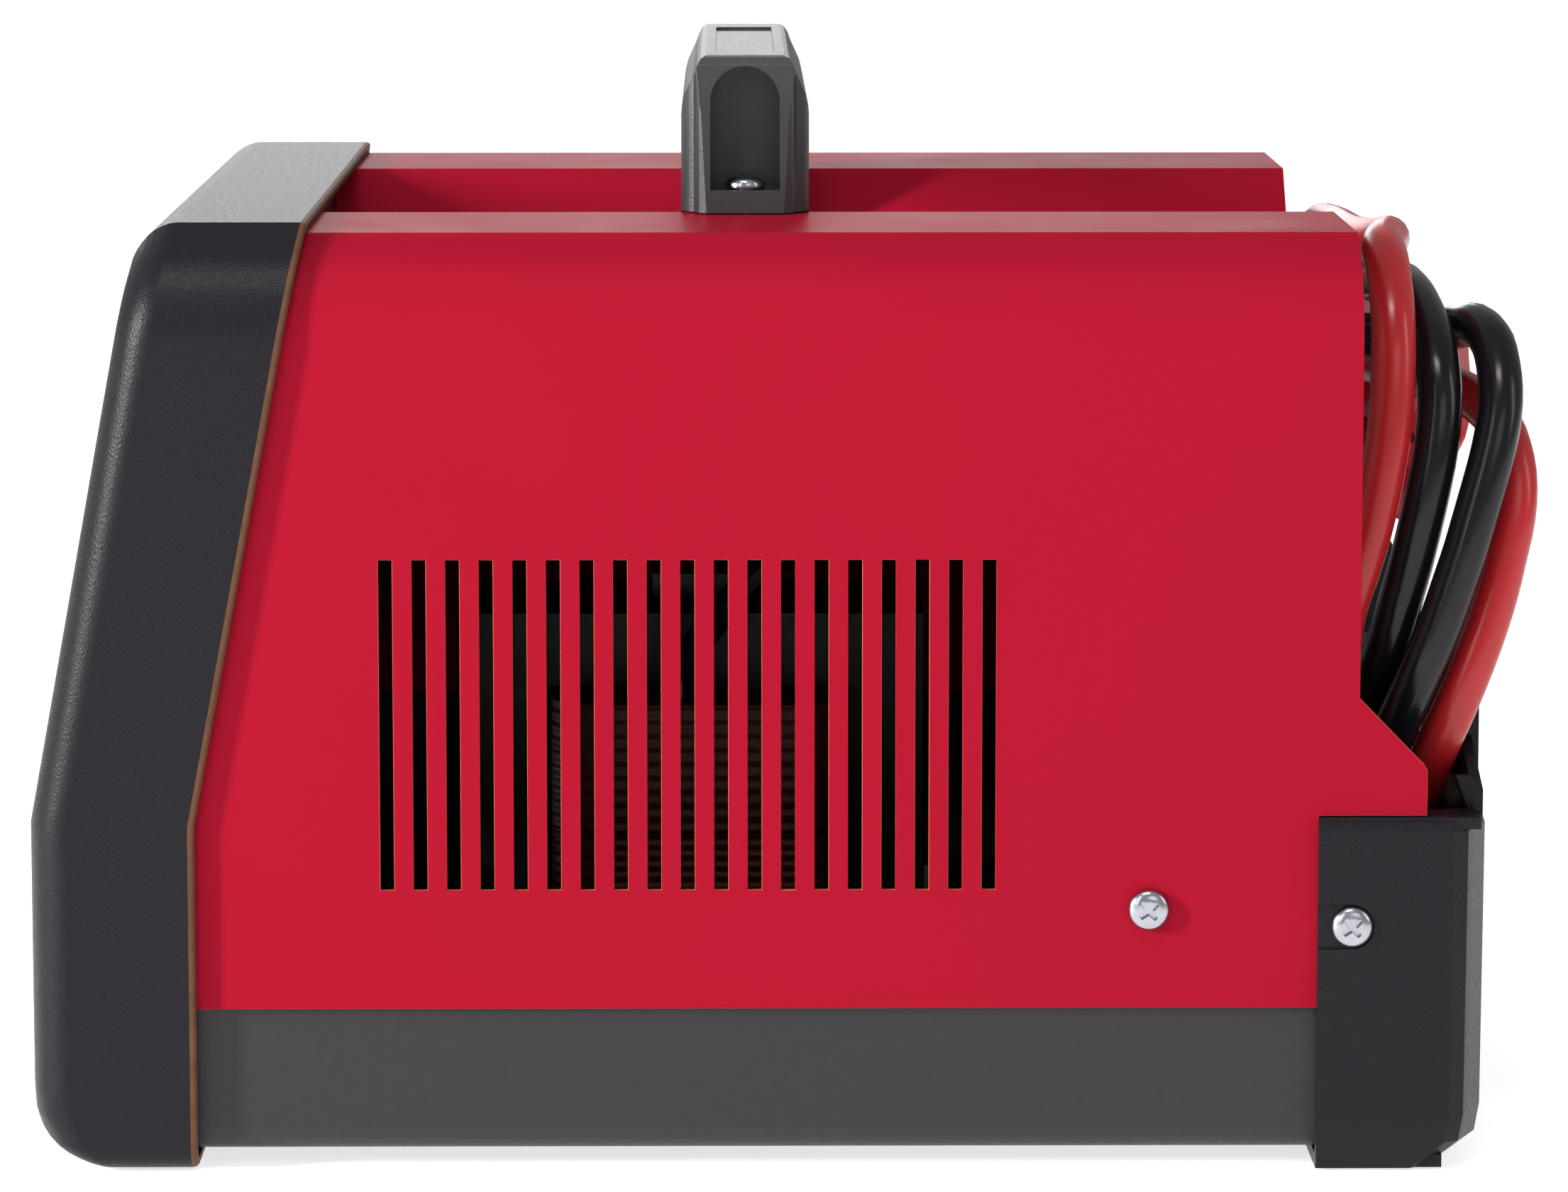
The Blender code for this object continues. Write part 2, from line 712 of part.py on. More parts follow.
def handle_plan():
    w = HANDLE_HALF_WIDTH
    corner = arc((HANDLE_END_X - 0.010, w - 0.006), 0.006, 90, 35, 3)
    quarter = [(HANDLE_END_X - 0.022, w), *corner, (HANDLE_END_X + 0.0002, w - 0.0050)]
    right = quarter + [(x, -y) for x, y in reversed(quarter)]
    whole = right + [(-x, -y) for x, y in right]
    return [(x, y + HANDLE_Y) for x, y in whole]


def make_handle():
    span = (HANDLE_Y - 0.03, HANDLE_Y + 0.03)
    handle = prism("carry_handle", handle_front_outline(), "Y", *span, "handle_plastic")
    common(
        handle,
        prism("side", handle_side_outline(), "X", -0.1, 0.1),
        prism("plan", handle_plan(), "Z", 0.18, 0.27),
    )
    for side in (1, -1):
        arch = [(HANDLE_Y - 0.0082, POCKET_FLOOR_Z), (HANDLE_Y - 0.0082, 0.2404)]
        arch += arc((HANDLE_Y, 0.2404), 0.0082, 180, 0, 8)[1:]
        arch += [(HANDLE_Y + 0.0082, POCKET_FLOOR_Z)]
        pocket_x = sorted((side * (HANDLE_BOLT_X - 0.0078), side * 0.1))
        cut(
            handle,
            prism("pocket", arch, "X", *pocket_x),
            rod("hole", "Z", (side * HANDLE_BOLT_X, HANDLE_Y, 0), 0.0028, 0.19, 0.23, 12),
        )
    inlay = rounded((-0.058, 0.058), (HANDLE_Y - 0.0070, HANDLE_Y + 0.0070), 0.003, 3)
    cut(handle, prism("inlay", inlay, "Z", HANDLE_TOP_Z - 0.0008, HANDLE_TOP_Z + 0.01))


# --- Fasteners ---


def screw(name, axis, at, out, head_r, head_h, radius, length):
    """A domed screw whose head sits at a point, with its shank running the other way. out is 1 or -1."""
    profile = [
        (radius, -length),
        (radius, 0.0),
        (head_r, 0.0),
        (head_r * 0.96, head_h * 0.35),
        (head_r * 0.78, head_h * 0.75),
        (head_r * 0.40, head_h),
    ]
    rings = [(r, out * along) for r, along in profile]
    made = turned(name, rings, axis, at, 20, "zinc")
    cross_w, cross_l = head_r * 0.13, head_r * 0.52
    top = at["XYZ".index(axis)] + out * head_h
    span = sorted((top - out * head_h * 0.62, top + out * head_h))
    flat = [c for i, c in enumerate(at) if i != "XYZ".index(axis)]
    corners = [(cross_l, cross_w), (-cross_l, cross_w), (-cross_l, -cross_w), (cross_l, -cross_w)]
    bars = []
    for angle in (40, 130):
        turn = Matrix.Rotation(math.radians(angle), 2)
        spun = [tuple(Vector(flat) + turn @ Vector(corner)) for corner in corners]
        bars.append(prism("bar", spun, axis, *span))
    return cut(made, join(bars[0], bars[1]))


def foot_bolts():
    """Where the transformer's feet are bolted down, as (x, y)."""
    reach = CORE_HALF_Y + 0.009
    return [(x, CORE_Y + y) for y in (-reach, reach) for x in (-0.024, 0.024)]


def make_fasteners():
    for side, word in ((1, "right"), (-1, "left")):
        at = (side * (SIDE_X + GAP), *COVER_SCREW)
        screw(f"cover_screw_{word}", "X", at, side, SCREW_HEAD_R, SCREW_HEAD_H, SCREW_R, 0.012)
        at = (side * (0.1531 + GAP), *TRAY_SCREW)
        screw(f"tray_screw_{word}", "X", at, side, SCREW_HEAD_R, SCREW_HEAD_H, SCREW_R, 0.012)
        at = (side * HANDLE_BOLT_X, HANDLE_Y, POCKET_FLOOR_Z + GAP)
        screw(f"handle_bolt_{word}", "Z", at, 1, 0.0046, 0.0030, 0.0025, 0.018)
    for i, (x, y) in enumerate(foot_bolts(), 1):
        screw(f"foot_bolt_{i}", "Z", (x, y, BASE_FLOOR_Z + 0.0033 + GAP), 1, 0.0048, 0.0032, 0.0025, 0.009)


# --- What the casing holds ---


def make_coil(name, reach, span, finish):
    width = CORE_HALF_Y - 2 * LIMB - 0.0010
    coil_y = (CORE_Y - LIMB - width, CORE_Y + LIMB + width)
    inside_x = (-CORE_HALF_X - 0.0005, CORE_HALF_X + 0.0005)
    inside_y = (CORE_Y - LIMB - 0.0005, CORE_Y + LIMB + 0.0005)
    coil = prism(name, rounded((-reach, reach), coil_y, 0.014, 5), "Z", *span, finish)
    cut(coil, prism("hole", rounded(inside_x, inside_y, 0.0002, 1), "Z", 0.0, 0.2))


def make_core_foot(name, side):
    """An angle bracket between the core's end and the base."""
    edge = CORE_Y + side * CORE_HALF_Y
    low, high = BASE_FLOOR_Z + GAP, BASE_FLOOR_Z + 0.0033
    line = [
        (edge - side * 0.014, low),
        (edge + side * 0.018, low),
        (edge + side * 0.018, high),
        (edge + side * 0.0033, high),
        (edge + side * 0.0033, 0.050),
        (edge + side * GAP, 0.050),
        (edge + side * GAP, high),
        (edge - side * 0.014, high),
    ]
    foot = prism(name, line, "X", -0.036, 0.036, "plated_sheet")
    for x, y in foot_bolts():
        if (y - CORE_Y) * side > 0:
            cut(foot, rod("hole", "Z", (x, y, 0), 0.0028, 0.0, 0.02, 12))


def make_transformer():
    y = (CORE_Y - CORE_HALF_Y, CORE_Y + CORE_HALF_Y)
    z = CORE_Z
    core = box("transformer_core", (-CORE_HALF_X, CORE_HALF_X), y, z, "core_steel")
    for low in (y[0] + LIMB, CORE_Y + LIMB):
        window = (low, low + CORE_HALF_Y - 2 * LIMB)
        cut(core, box("window", (-0.1, 0.1), window, (z[0] + LIMB, z[1] - LIMB)))
    low, middle, high = z[0] + LIMB, sum(z) / 2, z[1] - LIMB
    make_coil("primary_coil", 0.056, (low + 0.0005, middle - 0.0005), "copper")
    make_coil("secondary_coil", 0.060, (middle + 0.0005, high - 0.0005), "aluminium")
    make_core_foot("core_foot_front", -1)
    make_core_foot("core_foot_rear", 1)


def make_blade(turn):
    """One twisted blade of the fan, from its root in the hub to its tip."""
    points = []
    for r, pitch, half in ((0.012, 42, 0.007), (FAN_R, 24, 0.017)):
        reach = math.cos(math.radians(pitch)) * half
        rise = math.sin(math.radians(pitch)) * 0.0048
        for side in (-1, 1):
            for skin in (-0.0006, 0.0006):
                points.append(Vector((side * reach, 0.006 + side * rise + skin, r)))
    faces = [(0, 1, 3, 2), (4, 6, 7, 5), (0, 2, 6, 4), (1, 5, 7, 3), (0, 4, 5, 1), (2, 3, 7, 6)]
    bm = bmesh.new()
    place_at = Matrix.Translation((0, FAN_Y[0], FAN_Z)) @ Matrix.Rotation(turn, 4, "Y")
    verts = [bm.verts.new(place_at @ p) for p in points]
    for face in faces:
        bm.faces.new([verts[k] for k in face])
    return from_bmesh("blade", bm, "fan_plastic")


def make_fan_bracket():
    z = (FAN_Z - 0.008, FAN_Z + 0.008)
    bracket = box("fan_bracket", (-0.042, 0.042), (0.1190, 0.1205), z, "plated_sheet")
    for side in (1, -1):
        tab_x = sorted((side * 0.0405, side * 0.042))
        foot_x = sorted((side * 0.0405, side * 0.056))
        join(
            bracket,
            box("tab", tab_x, (0.1190, 0.1245), z),
            box("foot", foot_x, (0.1231, REAR_PANEL_Y[0] - GAP), z),
        )


def make_fan():
    centre = (0, FAN_Y[0], FAN_Z)
    hub_rings = [(0.012, 0.0), (0.014, 0.002), (0.014, 0.012)]
    hub = turned("fan_blade", hub_rings, "Y", centre, 24, "fan_plastic")
    join(hub, *[make_blade(2 * math.pi * i / 5) for i in range(5)])
    cut(hub, rod("bore", "Y", centre, 0.0023, 0.004, 0.03))
    shaft = rod("fan_shaft", "Y", centre, 0.0022, 0.0043, 0.0190, 16, "steel")
    motor_at = (0, FAN_Y[1] + 0.0015, FAN_Z)
    motor_rings = [(0.0235, 0.0), (0.0240, 0.001), (0.0240, 0.0135), (0.0225, 0.0150)]
    motor = turned("fan_motor", motor_rings, "Y", motor_at, 28, "core_steel")
    cut(motor, rod("bore", "Y", motor_at, 0.0023, -0.01, 0.008))
    make_fan_bracket()
    set_origin(hub, centre)
    set_origin(shaft, centre)


def make_small_electrics():
    low, high = CORE_Z[1] + GAP, CORE_Z[1] + 0.007
    cutout_y = (CORE_Y - 0.012, CORE_Y + 0.012)
    box("thermal_cutout", (-0.008, 0.008), cutout_y, (low, high), "black_plastic")
    block_z = (BASE_FLOOR_Z + GAP, 0.028)
    block = box("terminal_block", (-0.100, -0.076), (0.030, 0.070), block_z, "black_plastic")
    for i in range(3):
        cut(block, rod("hole", "X", (-0.088, 0.037 + i * 0.013, 0.020), 0.0032, -0.02, 0.02, 12))
    electrode_wire = [
        (-0.050, -0.020, 0.0940), (-0.051, -0.018, 0.1030), (-0.060, 0.000, 0.1220),
        (-0.076, 0.040, 0.1440), (-0.088, 0.080, 0.1680), (-0.090, 0.106, 0.1720),
        (-0.090, 0.1188, 0.1720),
    ]
    work_wire = [
        (0.050, -0.020, 0.0940), (0.051, -0.018, 0.1040), (0.060, 0.000, 0.1260),
        (0.072, 0.035, 0.1570), (0.078, 0.078, 0.1810), (0.078, 0.106, 0.1850),
        (0.078, 0.1188, 0.1850),
    ]
    tube("electrode_wire", electrode_wire, 0.0038, "black_rubber", 2, 0.012)
    tube("work_wire", work_wire, 0.0038, "black_rubber", 2, 0.012)


def make_gland(name, at):
    """A flanged bush through the rear panel, tapering to the lead that leaves it."""
    x, z = at
    y0, y1 = REAR_PANEL_Y
    profile = [
        (0.0110, y0 - 0.0055),
        (0.0110, y0 - GAP),
        (0.0084, y0 - GAP),
        (0.0084, y1 + GAP),
        (0.0112, y1 + GAP),
        (0.0108, y1 + 0.0030),
        (0.0086, y1 + 0.0050),
        (0.0068, GLAND_TIP_Y),
    ]
    return turned(name, profile, "Y", (x, 0, z), 20, "black_rubber")


# --- Leads and what is on them ---

# From the gland, up into the rear turn, then the front turn, and into the holder
ELECTRODE_ROUTE = [
    (-0.0900, 0.1370, 0.1720), (-0.0896, 0.1431, 0.1721), (-0.0866, 0.1508, 0.1727),
    (-0.0786, 0.1583, 0.1741), (-0.0678, 0.1611, 0.1757), (-0.0573, 0.1585, 0.1765),
    (-0.0475, 0.1538, 0.1762), (-0.0360, 0.1509, 0.1755), (-0.0200, 0.1493, 0.1745),
    (-0.0050, 0.1490, 0.1733), (0.0200, 0.1492, 0.1737), (0.0450, 0.1500, 0.1747),
    (0.0620, 0.1526, 0.1752), (0.0730, 0.1566, 0.1748), (0.0830, 0.1617, 0.1736),
    (0.0940, 0.1675, 0.1715), (0.1075, 0.1720, 0.1671), (0.1150, 0.1742, 0.1598),
    (0.1185, 0.1747, 0.1527), (0.1205, 0.1739, 0.1453), (0.1215, 0.1722, 0.1379),
    (0.1225, 0.1703, 0.1299), (0.1235, 0.1676, 0.1211), (0.1243, 0.1644, 0.1123),
    (0.1240, 0.1607, 0.1028), (0.1222, 0.1571, 0.0938), (0.1180, 0.1548, 0.0857),
    (0.1100, 0.1539, 0.0788), (0.0950, 0.1541, 0.0730), (0.0700, 0.1541, 0.0710),
    (0.0000, 0.1541, 0.0710), (-0.0700, 0.1541, 0.0710), (-0.1000, 0.1538, 0.0740),
    (-0.1220, 0.1530, 0.0860), (-0.1325, 0.1515, 0.1050), (-0.1350, 0.1500, 0.1300),
    (-0.1328, 0.1490, 0.1580), (-0.1235, 0.1482, 0.1820), (-0.0990, 0.1477, 0.1962),
    (-0.0550, 0.1476, 0.2003), (0.0000, 0.1478, 0.2020), (0.0450, 0.1486, 0.2050),
    (0.0740, 0.1488, 0.2078), (0.0920, 0.1459, 0.2075), (0.1060, 0.1456, 0.2042),
    (0.1160, 0.1457, 0.1969), (0.1222, 0.1456, 0.1878), (0.1252, 0.1452, 0.1775),
    (0.1266, 0.1443, 0.1670), (0.1274, 0.1427, 0.1569), (0.1280, 0.1404, 0.1459),
    (0.1284, 0.1376, 0.1361), (0.1286, 0.1340, 0.1240), (0.1285, 0.1324, 0.1080),
    (0.1262, 0.1320, 0.0930), (0.1160, 0.1320, 0.0795), (0.1010, 0.1322, 0.0727),
    (0.0800, 0.1322, 0.0710), (0.0500, 0.1322, 0.0710), (0.0000, 0.1322, 0.0710),
    (-0.0500, 0.1322, 0.0712), (-0.0800, 0.1324, 0.0760), (-0.1000, 0.1340, 0.0900),
    (-0.1085, 0.1390, 0.1080), (-0.1102, 0.1450, 0.1215), (-0.1085, 0.1505, 0.1350),
    (-0.1025, 0.1553, 0.1468), (-0.0935, 0.1578, 0.1538), (-0.0855, 0.1586, 0.1554),
    (-0.0808, 0.1586, 0.1554),
]
WORK_ROUTE = [
    (0.0780, 0.1370, 0.1850), (0.0783, 0.1465, 0.1851), (0.0815, 0.1566, 0.1861),
    (0.0896, 0.1643, 0.1880), (0.1000, 0.1671, 0.1893), (0.1120, 0.1695, 0.1866),
    (0.1195, 0.1704, 0.1804), (0.1240, 0.1703, 0.1738), (0.1268, 0.1692, 0.1670),
    (0.1285, 0.1676, 0.1603), (0.1296, 0.1657, 0.1536), (0.1303, 0.1638, 0.1470),
    (0.1306, 0.1618, 0.1399), (0.1306, 0.1594, 0.1324), (0.1304, 0.1560, 0.1221),
    (0.1297, 0.1527, 0.1138), (0.1272, 0.1493, 0.1047), (0.1225, 0.1462, 0.0954),
    (0.1150, 0.1443, 0.0865), (0.1050, 0.1435, 0.0789), (0.0870, 0.1431, 0.0718),
    (0.0650, 0.1431, 0.0710), (0.0400, 0.1431, 0.0710), (0.0000, 0.1431, 0.0710),
    (-0.0500, 0.1431, 0.0710), (-0.0850, 0.1432, 0.0730), (-0.1080, 0.1438, 0.0830),
    (-0.1195, 0.1450, 0.1000), (-0.1225, 0.1465, 0.1200), (-0.1222, 0.1480, 0.1400),
    (-0.1165, 0.1500, 0.1650), (-0.0995, 0.1512, 0.1830), (-0.0650, 0.1515, 0.1888),
    (-0.0200, 0.1515, 0.1903), (0.0250, 0.1515, 0.1928), (0.0560, 0.1520, 0.1955),
    (0.0760, 0.1523, 0.1969), (0.0930, 0.1535, 0.1950), (0.1060, 0.1552, 0.1899),
    (0.1145, 0.1561, 0.1844), (0.1200, 0.1565, 0.1778), (0.1230, 0.1563, 0.1706),
    (0.1248, 0.1553, 0.1619), (0.1255, 0.1537, 0.1535), (0.1254, 0.1518, 0.1446),
    (0.1246, 0.1498, 0.1356), (0.1234, 0.1475, 0.1265), (0.1212, 0.1453, 0.1172),
    (0.1165, 0.1424, 0.1075), (0.1085, 0.1405, 0.0985), (0.0975, 0.1415, 0.0940),
    (0.0850, 0.1435, 0.0935), (0.0723, 0.1440, 0.0935),
]


def make_leads():
    tube("electrode_lead", ELECTRODE_ROUTE, LEAD_R, "red_rubber")
    tube("work_lead", WORK_ROUTE, LEAD_R, "black_rubber")


def tool_matrix(at, roll, turn):
    return Matrix.Translation(at) @ Matrix.Rotation(roll, 4, "X") @ Matrix.Rotation(turn, 4, "Z")


def slab(name, outline, half_width, finish):
    """A piece drawn in the tool's own X and Z, with its thickness across Y."""
    return prism(name, outline, "Y", -half_width, half_width, finish)


def make_holder_handle():
    px, pz = HOLDER_PIVOT
    grip = [
        (0.0, -0.0105), (0.006, -0.013), (0.060, -0.0140), (0.084, -0.020), (0.104, -0.0220),
        (0.108, -0.0205), (0.108, -0.006), (px + 0.004, -0.003), (px - 0.009, -0.003),
        (0.076, 0.0035), (0.070, 0.0085), (0.010, 0.0085), (0.0, 0.0055),
    ]
    handle = slab("holder_handle", grip, 0.011, "red_plastic")
    cut(handle, rod("mouth", "X", (0, 0, -0.002), LEAD_R + GAP, -0.01, 0.012))
    ear = slab("ear", circle(0.0065, 16, (px, pz)), 0.0025, "red_plastic")
    join(handle, ear, box("post", (px - 0.0055, px + 0.0055), (-0.0025, 0.0025), (-0.006, pz)))
    return cut(handle, rod("bore", "Y", (px, 0, pz), 0.0020, -0.02, 0.02))


def make_holder_lever():
    px, pz = HOLDER_PIVOT
    outline = [
        (0.0445, 0.0268), (0.049, 0.0270), (0.078, 0.0205), (0.106, 0.0150), (0.124, 0.0130),
        (0.124, 0.0062), (0.110, 0.0052), (px + 0.0068, 0.0005), (px - 0.0068, 0.0005),
        (px - 0.012, 0.0120), (0.066, 0.0170), (0.049, 0.0219), (0.0445, 0.0232),
    ]
    lever = slab("holder_lever", outline, 0.010, "red_plastic")
    return cut(
        lever,
        box("slot", (px - 0.0072, px + 0.0072), (-0.0029, 0.0029), (-0.01, pz + 0.0070)),
        rod("bore", "Y", (px, 0, pz), 0.0020, -0.02, 0.02),
    )


def make_holder_jaws():
    lower_line = [
        (0.1085, -0.0165), (0.142, -0.0125), (0.148, -0.0065),
        (0.148, -0.0010), (0.112, -0.0010), (0.1085, -0.0050),
    ]
    upper_line = [
        (0.1245, 0.0058), (0.112, 0.0045), (0.112, 0.0008), (0.148, 0.0008),
        (0.148, 0.0060), (0.140, 0.0108), (0.1245, 0.0120),
    ]
    lower = slab("holder_lower_jaw", lower_line, 0.008, "red_plastic")
    upper = slab("holder_upper_jaw", upper_line, 0.008, "red_plastic")
    for x in (0.122, 0.131, 0.140):
        cut(lower, rod("groove", "Y", (x, 0, -0.0001), 0.0016, -0.02, 0.02, 10))
    return lower, upper


def make_holder():
    """The electrode holder, drawn with the lead's end at x = 0 and the jaws beyond the pivot."""
    px, pz = HOLDER_PIVOT
    handle = make_holder_handle()
    lever = make_holder_lever()
    lower, upper = make_holder_jaws()
    pin = rod("holder_pin", "Y", (px, 0, pz), 0.0019, -0.0098, 0.0098, 16, "steel")
    spring_at = (0.080, 0, 0.0042)
    spring = turned("holder_spring", [(0.0038, 0.0), (0.0038, 0.0082)], "Z", spring_at, 16, "steel")
    cut(spring, rod("hole", "Z", spring_at, 0.0026, -0.01, 0.02, 12))
    where = tool_matrix(HOLDER_AT, HOLDER_ROLL, 0.0)
    move(where, handle, lever, pin, lower, upper, spring)
    pivot = where @ Vector((px, 0, pz))
    for piece in (lever, upper):
        set_origin(piece, pivot)


def make_clamp_lower_arm():
    """A folded arm whose ears carry the pin, with a barrel that grips the lead."""
    px, pz = CLAMP_PIVOT
    outline = [
        (0.010, -0.0125), (0.050, -0.0125), (px, -0.0070), (0.120, -0.0120), (0.150, -0.0060),
        (0.152, 0.0035), (0.149, 0.0035), (0.146, -0.0025), (0.120, -0.0085), (px + 0.008, 0.0035),
        (px - 0.006, 0.0005), (0.050, -0.0045), (0.010, -0.0045),
    ]
    arm = slab("clamp_lower_arm", outline, 0.0105, "steel")
    crown = arc((px, pz), 0.007, 0, 180, 8)
    ears = [(px - 0.007, -0.006), (px + 0.007, -0.006), *crown]
    join(arm, slab("ears", ears, 0.0105, "steel"))
    cut(arm, box("between", (px - 0.010, px + 0.012), (-0.0086, 0.0086), (-0.0025, 0.02)))
    cut(arm, rod("bore", "Y", (px, 0, pz), 0.0022, -0.02, 0.02))
    return cut(arm, rod("barrel", "X", (0, 0, 0), LEAD_R + 0.0002, 0.0, 0.030))


def make_clamp_upper_arm():
    px, pz = CLAMP_PIVOT
    outline = [
        (0.012, 0.0245), (0.050, 0.0185), (px - 0.006, 0.0105), (px + 0.006, 0.0105), (0.120, 0.0200),
        (0.150, 0.0125), (0.152, 0.0042), (0.149, 0.0042), (0.146, 0.0090), (0.120, 0.0165),
        (px + 0.008, 0.0005), (px - 0.006, 0.0005), (0.050, 0.0150), (0.012, 0.0210),
    ]
    arm = slab("clamp_upper_arm", outline, 0.0082, "steel")
    return cut(
        arm,
        box("between", (px - 0.009, px + 0.009), (-0.0058, 0.0058), (-0.002, 0.0085)),
        rod("bore", "Y", (px, 0, pz), 0.0022, -0.02, 0.02),
    )


def make_clamp_grips():
    """Two moulded grips, each hollowed for the arm that it sleeves."""
    lower_line = [(0.0, -0.0145), (0.046, -0.0145), (0.046, -0.0030), (0.0, -0.0030)]
    upper_line = [(0.002, 0.0285), (0.046, 0.0218), (0.046, 0.0128), (0.002, 0.0190)]
    inside_line = [(0.0115, 0.0251), (0.05, 0.0191), (0.05, 0.0146), (0.0115, 0.0206)]
    lower = slab("clamp_lower_grip", lower_line, 0.0125, "black_rubber")
    upper = slab("clamp_upper_grip", upper_line, 0.0105, "black_rubber")
    cut(lower, box("inside", (0.0095, 0.05), (-0.0109, 0.0109), (-0.0129, -0.0041)))
    cut(upper, slab("inside", inside_line, 0.0086, "steel"))
    cut(lower, rod("mouth", "X", (0, 0, 0), LEAD_R + 0.0002, -0.01, 0.03))
    return lower, upper


def make_clamp():
    """The work clamp, drawn like the holder: two stamped arms crossing at a sprung pin."""
    px, pz = CLAMP_PIVOT
    lower = make_clamp_lower_arm()
    upper = make_clamp_upper_arm()
    lower_grip, upper_grip = make_clamp_grips()
    pin = rod("clamp_pin", "Y", (px, 0, pz), 0.0021, -0.0115, 0.0115, 16, "zinc")
    spring = rod("clamp_spring", "Y", (px, 0, pz), 0.0042, -0.0052, 0.0052, 20, "steel")
    cut(spring, rod("hole", "Y", (px, 0, pz), 0.0024, -0.02, 0.02))
    where = tool_matrix(CLAMP_AT, 0.0, math.pi)
    move(where, lower, upper, pin, spring, lower_grip, upper_grip)
    pivot = where @ Vector((px, 0, pz))
    for piece in (upper, upper_grip):
        set_origin(piece, pivot)


def main():
    clear_scene()
    make_cover()
    make_bezel()
    make_front_panel()
    make_controls()
    make_base()
    make_rear_panel()
    make_rear_tray()
    make_handle()
    make_fasteners()
    make_transformer()
    make_fan()
    make_small_electrics()
    make_gland("electrode_lead_gland", ELECTRODE_EXIT)
    make_gland("work_lead_gland", WORK_EXIT)
    make_gland("mains_cord_inlet", MAINS_INLET)
    make_leads()
    make_holder()
    make_clamp()


main()
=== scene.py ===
"""Looks of the stick welder: finer shapes for what shows, its two leads, materials, light and camera."""

import json
import math

import bmesh
import bpy
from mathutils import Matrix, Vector


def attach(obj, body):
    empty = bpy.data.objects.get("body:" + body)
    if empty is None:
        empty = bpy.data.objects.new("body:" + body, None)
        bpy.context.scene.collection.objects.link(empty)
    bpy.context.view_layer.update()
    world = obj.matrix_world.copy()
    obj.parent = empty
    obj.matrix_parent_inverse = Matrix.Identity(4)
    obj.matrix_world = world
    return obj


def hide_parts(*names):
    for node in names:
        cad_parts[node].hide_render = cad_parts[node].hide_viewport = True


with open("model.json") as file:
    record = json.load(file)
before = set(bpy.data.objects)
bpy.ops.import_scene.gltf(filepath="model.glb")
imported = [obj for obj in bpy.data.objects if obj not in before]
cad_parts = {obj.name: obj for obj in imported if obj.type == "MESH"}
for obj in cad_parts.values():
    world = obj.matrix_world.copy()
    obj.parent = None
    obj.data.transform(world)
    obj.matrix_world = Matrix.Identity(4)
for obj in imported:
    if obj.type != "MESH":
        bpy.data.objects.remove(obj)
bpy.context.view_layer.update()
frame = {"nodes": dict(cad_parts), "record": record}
NODES = frame["nodes"]

# The casing's sizes, in metres, as in the CAD
GAP = 0.0003
SIDE_X = 0.152
SHEET = 0.0015
RIDGE_Z = 0.2138
CREASE_X = 0.1325
TROUGH_X = 0.0715
TROUGH_DEPTH = 0.024
SHOULDER = (0.130, 0.1905)
SHOULDER_R = SIDE_X - SHOULDER[0]
SHOULDER_TURN = 62
COVER_BOTTOM_Z = 0.0375
COVER_REAR_Y = 0.136
NOTCH_Z = 0.082
NOTCH_TOP_Z = 0.109
NOTCH_Y = 0.1516
TRAY_FRONT_Y = 0.1269
FRONT_Y = -0.1675
KINK_Z = 0.080
FRONT_LEAN = 0.1856
BEZEL_REAR_Y = -0.1293
BEZEL_REAR_LEAN = 0.190
BEZEL_SIDE_X = 0.155
BEZEL_TOP_Z = 0.2165
BEZEL_WALL = 0.0025
BEZEL_BORDER = 0.018
COLLAR = 0.0025
PANEL_SET_BACK = 0.0200
VENT_COUNT = 19
VENT_PITCH = 0.00762
VENT_WIDTH = 0.0032
VENT_START_Y = -0.0872
VENT_Z = (0.0650, 0.1410)
COVER_SCREW = (0.0882, 0.0604)
TRAY_SCREW = (0.1346, 0.0566)
HANDLE_Y = -0.00365
HANDLE_END_X = 0.0815
HANDLE_TOP_X = 0.0765
HANDLE_TOP_Z = 0.251
HANDLE_HALF_WIDTH = 0.01515
HANDLE_LEG_X = 0.052
HANDLE_UNDER_Z = 0.229
HANDLE_BOLT_X = 0.0758
POCKET_FLOOR_Z = 0.2195
POCKET_HALF_WIDTH = 0.0082
POCKET_ARCH_Z = 0.2404
POCKET_DEPTH = 0.0078
INLAY_HALF = (0.058, 0.007)
INLAY_DEPTH = 0.0008
TRAY_FACE_X = 0.1531
SCREW_HEAD_R = 0.00472
SCREW_HEAD_H = 0.0024
SCREW_R = 0.002
SCREW_LENGTH = 0.012
BOLT = dict(head_r=0.0046, head_h=0.0030, radius=0.0025, length=0.018)
TROUGH_END_Y = (-0.1120, -0.1086)
RIM_WIDTH = 0.0012
LEAD_R = 0.0052
LEAD_STEP = 0.0035
WELD_DISTANCE = 0.000004
# A wave texture of scale 1 repeats after this many metres
BAND_PERIOD = 0.314

